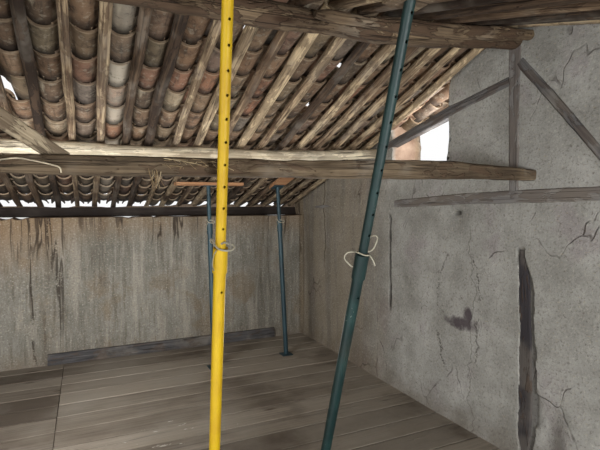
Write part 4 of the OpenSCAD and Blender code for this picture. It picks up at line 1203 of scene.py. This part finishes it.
def prop_pins():
    """Bent steel pins through the props, where the upper tubes leave the collars."""
    for name, (foot, head, side, share) in PROP_AXES.items():
        foot, head = np.array([*foot, FLOOR_TOP]), np.array([*head, under(side, *head) - PAD_DEPTH])
        at = foot + (head - foot) * share + PIN_LIFT
        paths = ((WIDE_PIN, 3.4), (PIN_BAND, 3.2)) if name == "green" else ((HOOK_PIN, 4.4), (PIN_TAIL, 2.6))
        small = 0.88 if side > 0 else 1.0
        rods = [rod(at + (np.array(p) @ PIN_AXES) * small / 1000, r / 1000) for p, r in paths]
        piece(name + "_prop_pin", rods, PIN_STEEL, "green_paint" if name != "yellow" else "yellow_paint")


STRAW_COUNT, HUNG_COUNT = 46, 14


def straws():
    """Straws and a root caught on the tie beam: short bent lines with a four-sided ring. The first ones
    hang down together, and the rest lie about."""
    rng = np.random.default_rng(4)
    count = STRAW_COUNT
    hung = np.arange(count) < HUNG_COUNT
    face_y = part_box("tie_beam")[0].y - 0.002
    spot = np.where(hung, 1.33 + rng.normal(0, 0.015, count), 1.46 + rng.uniform(-0.11, 0.13, count))
    middle, tall = tie_line(spot)
    level = middle + tall * np.where(hung, rng.uniform(-0.5, -0.1, count), rng.uniform(-0.1, 0.4, count))
    t = np.linspace(0, 1, 6)[None]
    long = rng.uniform(0.03, 0.08, (count, 1))
    down = np.where(hung, 1.0, 0.1)[:, None]
    lean = np.where(hung[:, None], 0.25, 1.0) * rng.normal(0, 0.6, (count, 1))
    curl = rng.normal(0, 0.5, (count, 1))
    x = spot[:, None] + long * (lean * t + curl * t * t * 0.5)
    y = face_y - rng.uniform(0, 0.012, (count, 1)) * np.sin(np.pi * t * 0.8)
    z = level[:, None] - long * (down * t + 0.3 * curl * t * t)
    grid = sleeve(track(x, y, z), np.array([0.1, 1.0, 0.2]), pole_ring(4) * 0.0009)
    root_x = np.array([0.76, 0.80, 0.85, 0.91, 0.96, 0.985, 0.99])
    root_z = tie_line(root_x)[0] + np.array([0.004, 0.012, 0.018, 0.008, -0.004, -0.014, -0.034])
    root = rod(track(root_x, face_y - 0.001, root_z), 0.003)
    piece("tie_beam_straws", grid, STRAW, "pale_wood")
    piece("tie_beam_root", root, PALE_LOG_WOOD, "pale_wood", tones=[0.9])


def kept_nodes():
    """Frame nodes whose own shape is right, and their finishes."""
    for names, finish in ((("yellow_prop_lower_tube", "yellow_prop_upper_tube"), YELLOW),
                          (("green_prop_lower_tube", "green_prop_upper_tube"), GREEN),
                          (("back_prop_lower_tubes", "back_prop_upper_tubes"), DARK_GREEN),
                          (("back_prop_pads",), BACK_PAD_WOOD), (("floor_joists",), JOIST_WOOD),
                          (("door_threshold",), PLASTER)):
        for name in names:
            for material_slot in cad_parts[name].material_slots:
                material_slot.material = finish


# Stage, lamps and camera

STAGE_HALF, STAGE_Z = 80.0, -0.002


def stage():
    """A pale floor and a world that is white behind the object and soft grey-white as light."""
    floor = bpy.data.meshes.new("stage_floor")
    corners = [(x * STAGE_HALF, y * STAGE_HALF, STAGE_Z) for x, y in ((-1, -1), (1, -1), (1, 1), (-1, 1))]
    floor.from_pydata(corners, [], [(0, 1, 2, 3)])
    pale = Finish("stage_floor")
    pale.feed(pale.shader, {"Base Color": tint(238, 236, 232), "Roughness": 0.9})
    floor.materials.append(pale.material)
    add("stage_floor", floor)
    world = bpy.data.worlds.new("studio")
    world.use_nodes = True
    bpy.context.scene.world = world
    sky = Nodes(world.node_tree)
    camera_ray, glossy_ray, through_ray = (
        sky.node("LightPath", out=ray) for ray in ("Is Camera Ray", "Is Glossy Ray", "Is Transmission Ray"))
    light, seen = (sky.node("Background", None, {0: (1, 1, 1, 1), 1: strength}) for strength in (0.85, 1.0))
    mix = sky.node("MixShader", None, {0: camera_ray | glossy_ray | through_ray, 1: light, 2: seen})
    sky.feed(world.node_tree.nodes["World Output"], {"Surface": mix})


def lamp(name, at, towards, size, power):
    """A square white lamp that shines along the line between two points."""
    data = bpy.data.lights.new(name, "AREA")
    data.shape, data.size, data.energy = "SQUARE", size, power
    made = add(name, data)
    made.visible_camera = False
    made.location = at
    direction = np.array(towards, float) - np.array(at, float)
    turn = math.atan2(direction[1], direction[0])
    lean = math.atan2(-direction[2], math.hypot(direction[0], direction[1]))
    made.rotation_euler = (math.pi / 2 - lean, 0, turn - math.pi / 2)


def lamps():
    """Lamps for the daylight in the room, and two in the yard for the outside."""
    lamp("room_key", (2.1, -3.05, 1.3), (3.6, 0.6, 1.3), 0.7, 72)
    lamp("room_fill", (-3.1, -2.9, 1.3), (0.6, 3.2, 1.5), 0.9, 128)
    lamp("back_wash", (0.5, 0.9, 1.4), (1.4, 3.35, 1.0), 1.0, 33)
    lamp("room_floor_light", (0.6, -0.4, 0.35), (0.8, 0.6, 3.0), 2.4, 20)
    lamp("roof_light", (2.4, 1.3, 0.9), (0.9, 1.7, 3.0), 1.0, 18)
    lamp("gap_light", (3.86, 0.98, 2.42), (2.6, 1.3, 2.62), 0.25, 6)
    lamp("yard_key", (7.0, -9.0, 9.0), (0, 0, 1), 6.0, 700)
    lamp("yard_fill", (-9.0, 7.0, 6.0), (0, 0, 1), 6.0, 300)


EYE = (1.07, -1.99, 1.83)
YAW, PITCH = 25.0, -2.5
FOCUS_PX, PICTURE_PX, SENSOR = 460.0, 600.0, 36.0


def camera():
    """The photograph's view: EYE looks YAW degrees from +Y towards +X, and PITCH degrees up."""
    data = bpy.data.cameras.new("camera")
    data.sensor_width = SENSOR
    data.lens = FOCUS_PX / PICTURE_PX * SENSOR
    data.clip_start = 0.05
    made = add("camera", data)
    made.location = EYE
    made.rotation_euler = (math.radians(90 + PITCH), 0, math.radians(-YAW))
    bpy.context.scene.camera = made


walls()
logs()
rafters(BACK)
rafters(FRONT)
tie_and_struts()
gable_frame(1)
gable_frame(-1)
plates_and_lintel()
tiles()
floor_planks()
eaves_filling()
pads()
prop_pins()
straws()
kept_nodes()
stage()
lamps()
camera()
bpy.context.scene.view_settings.view_transform = "Standard"
bpy.context.view_layer.update()
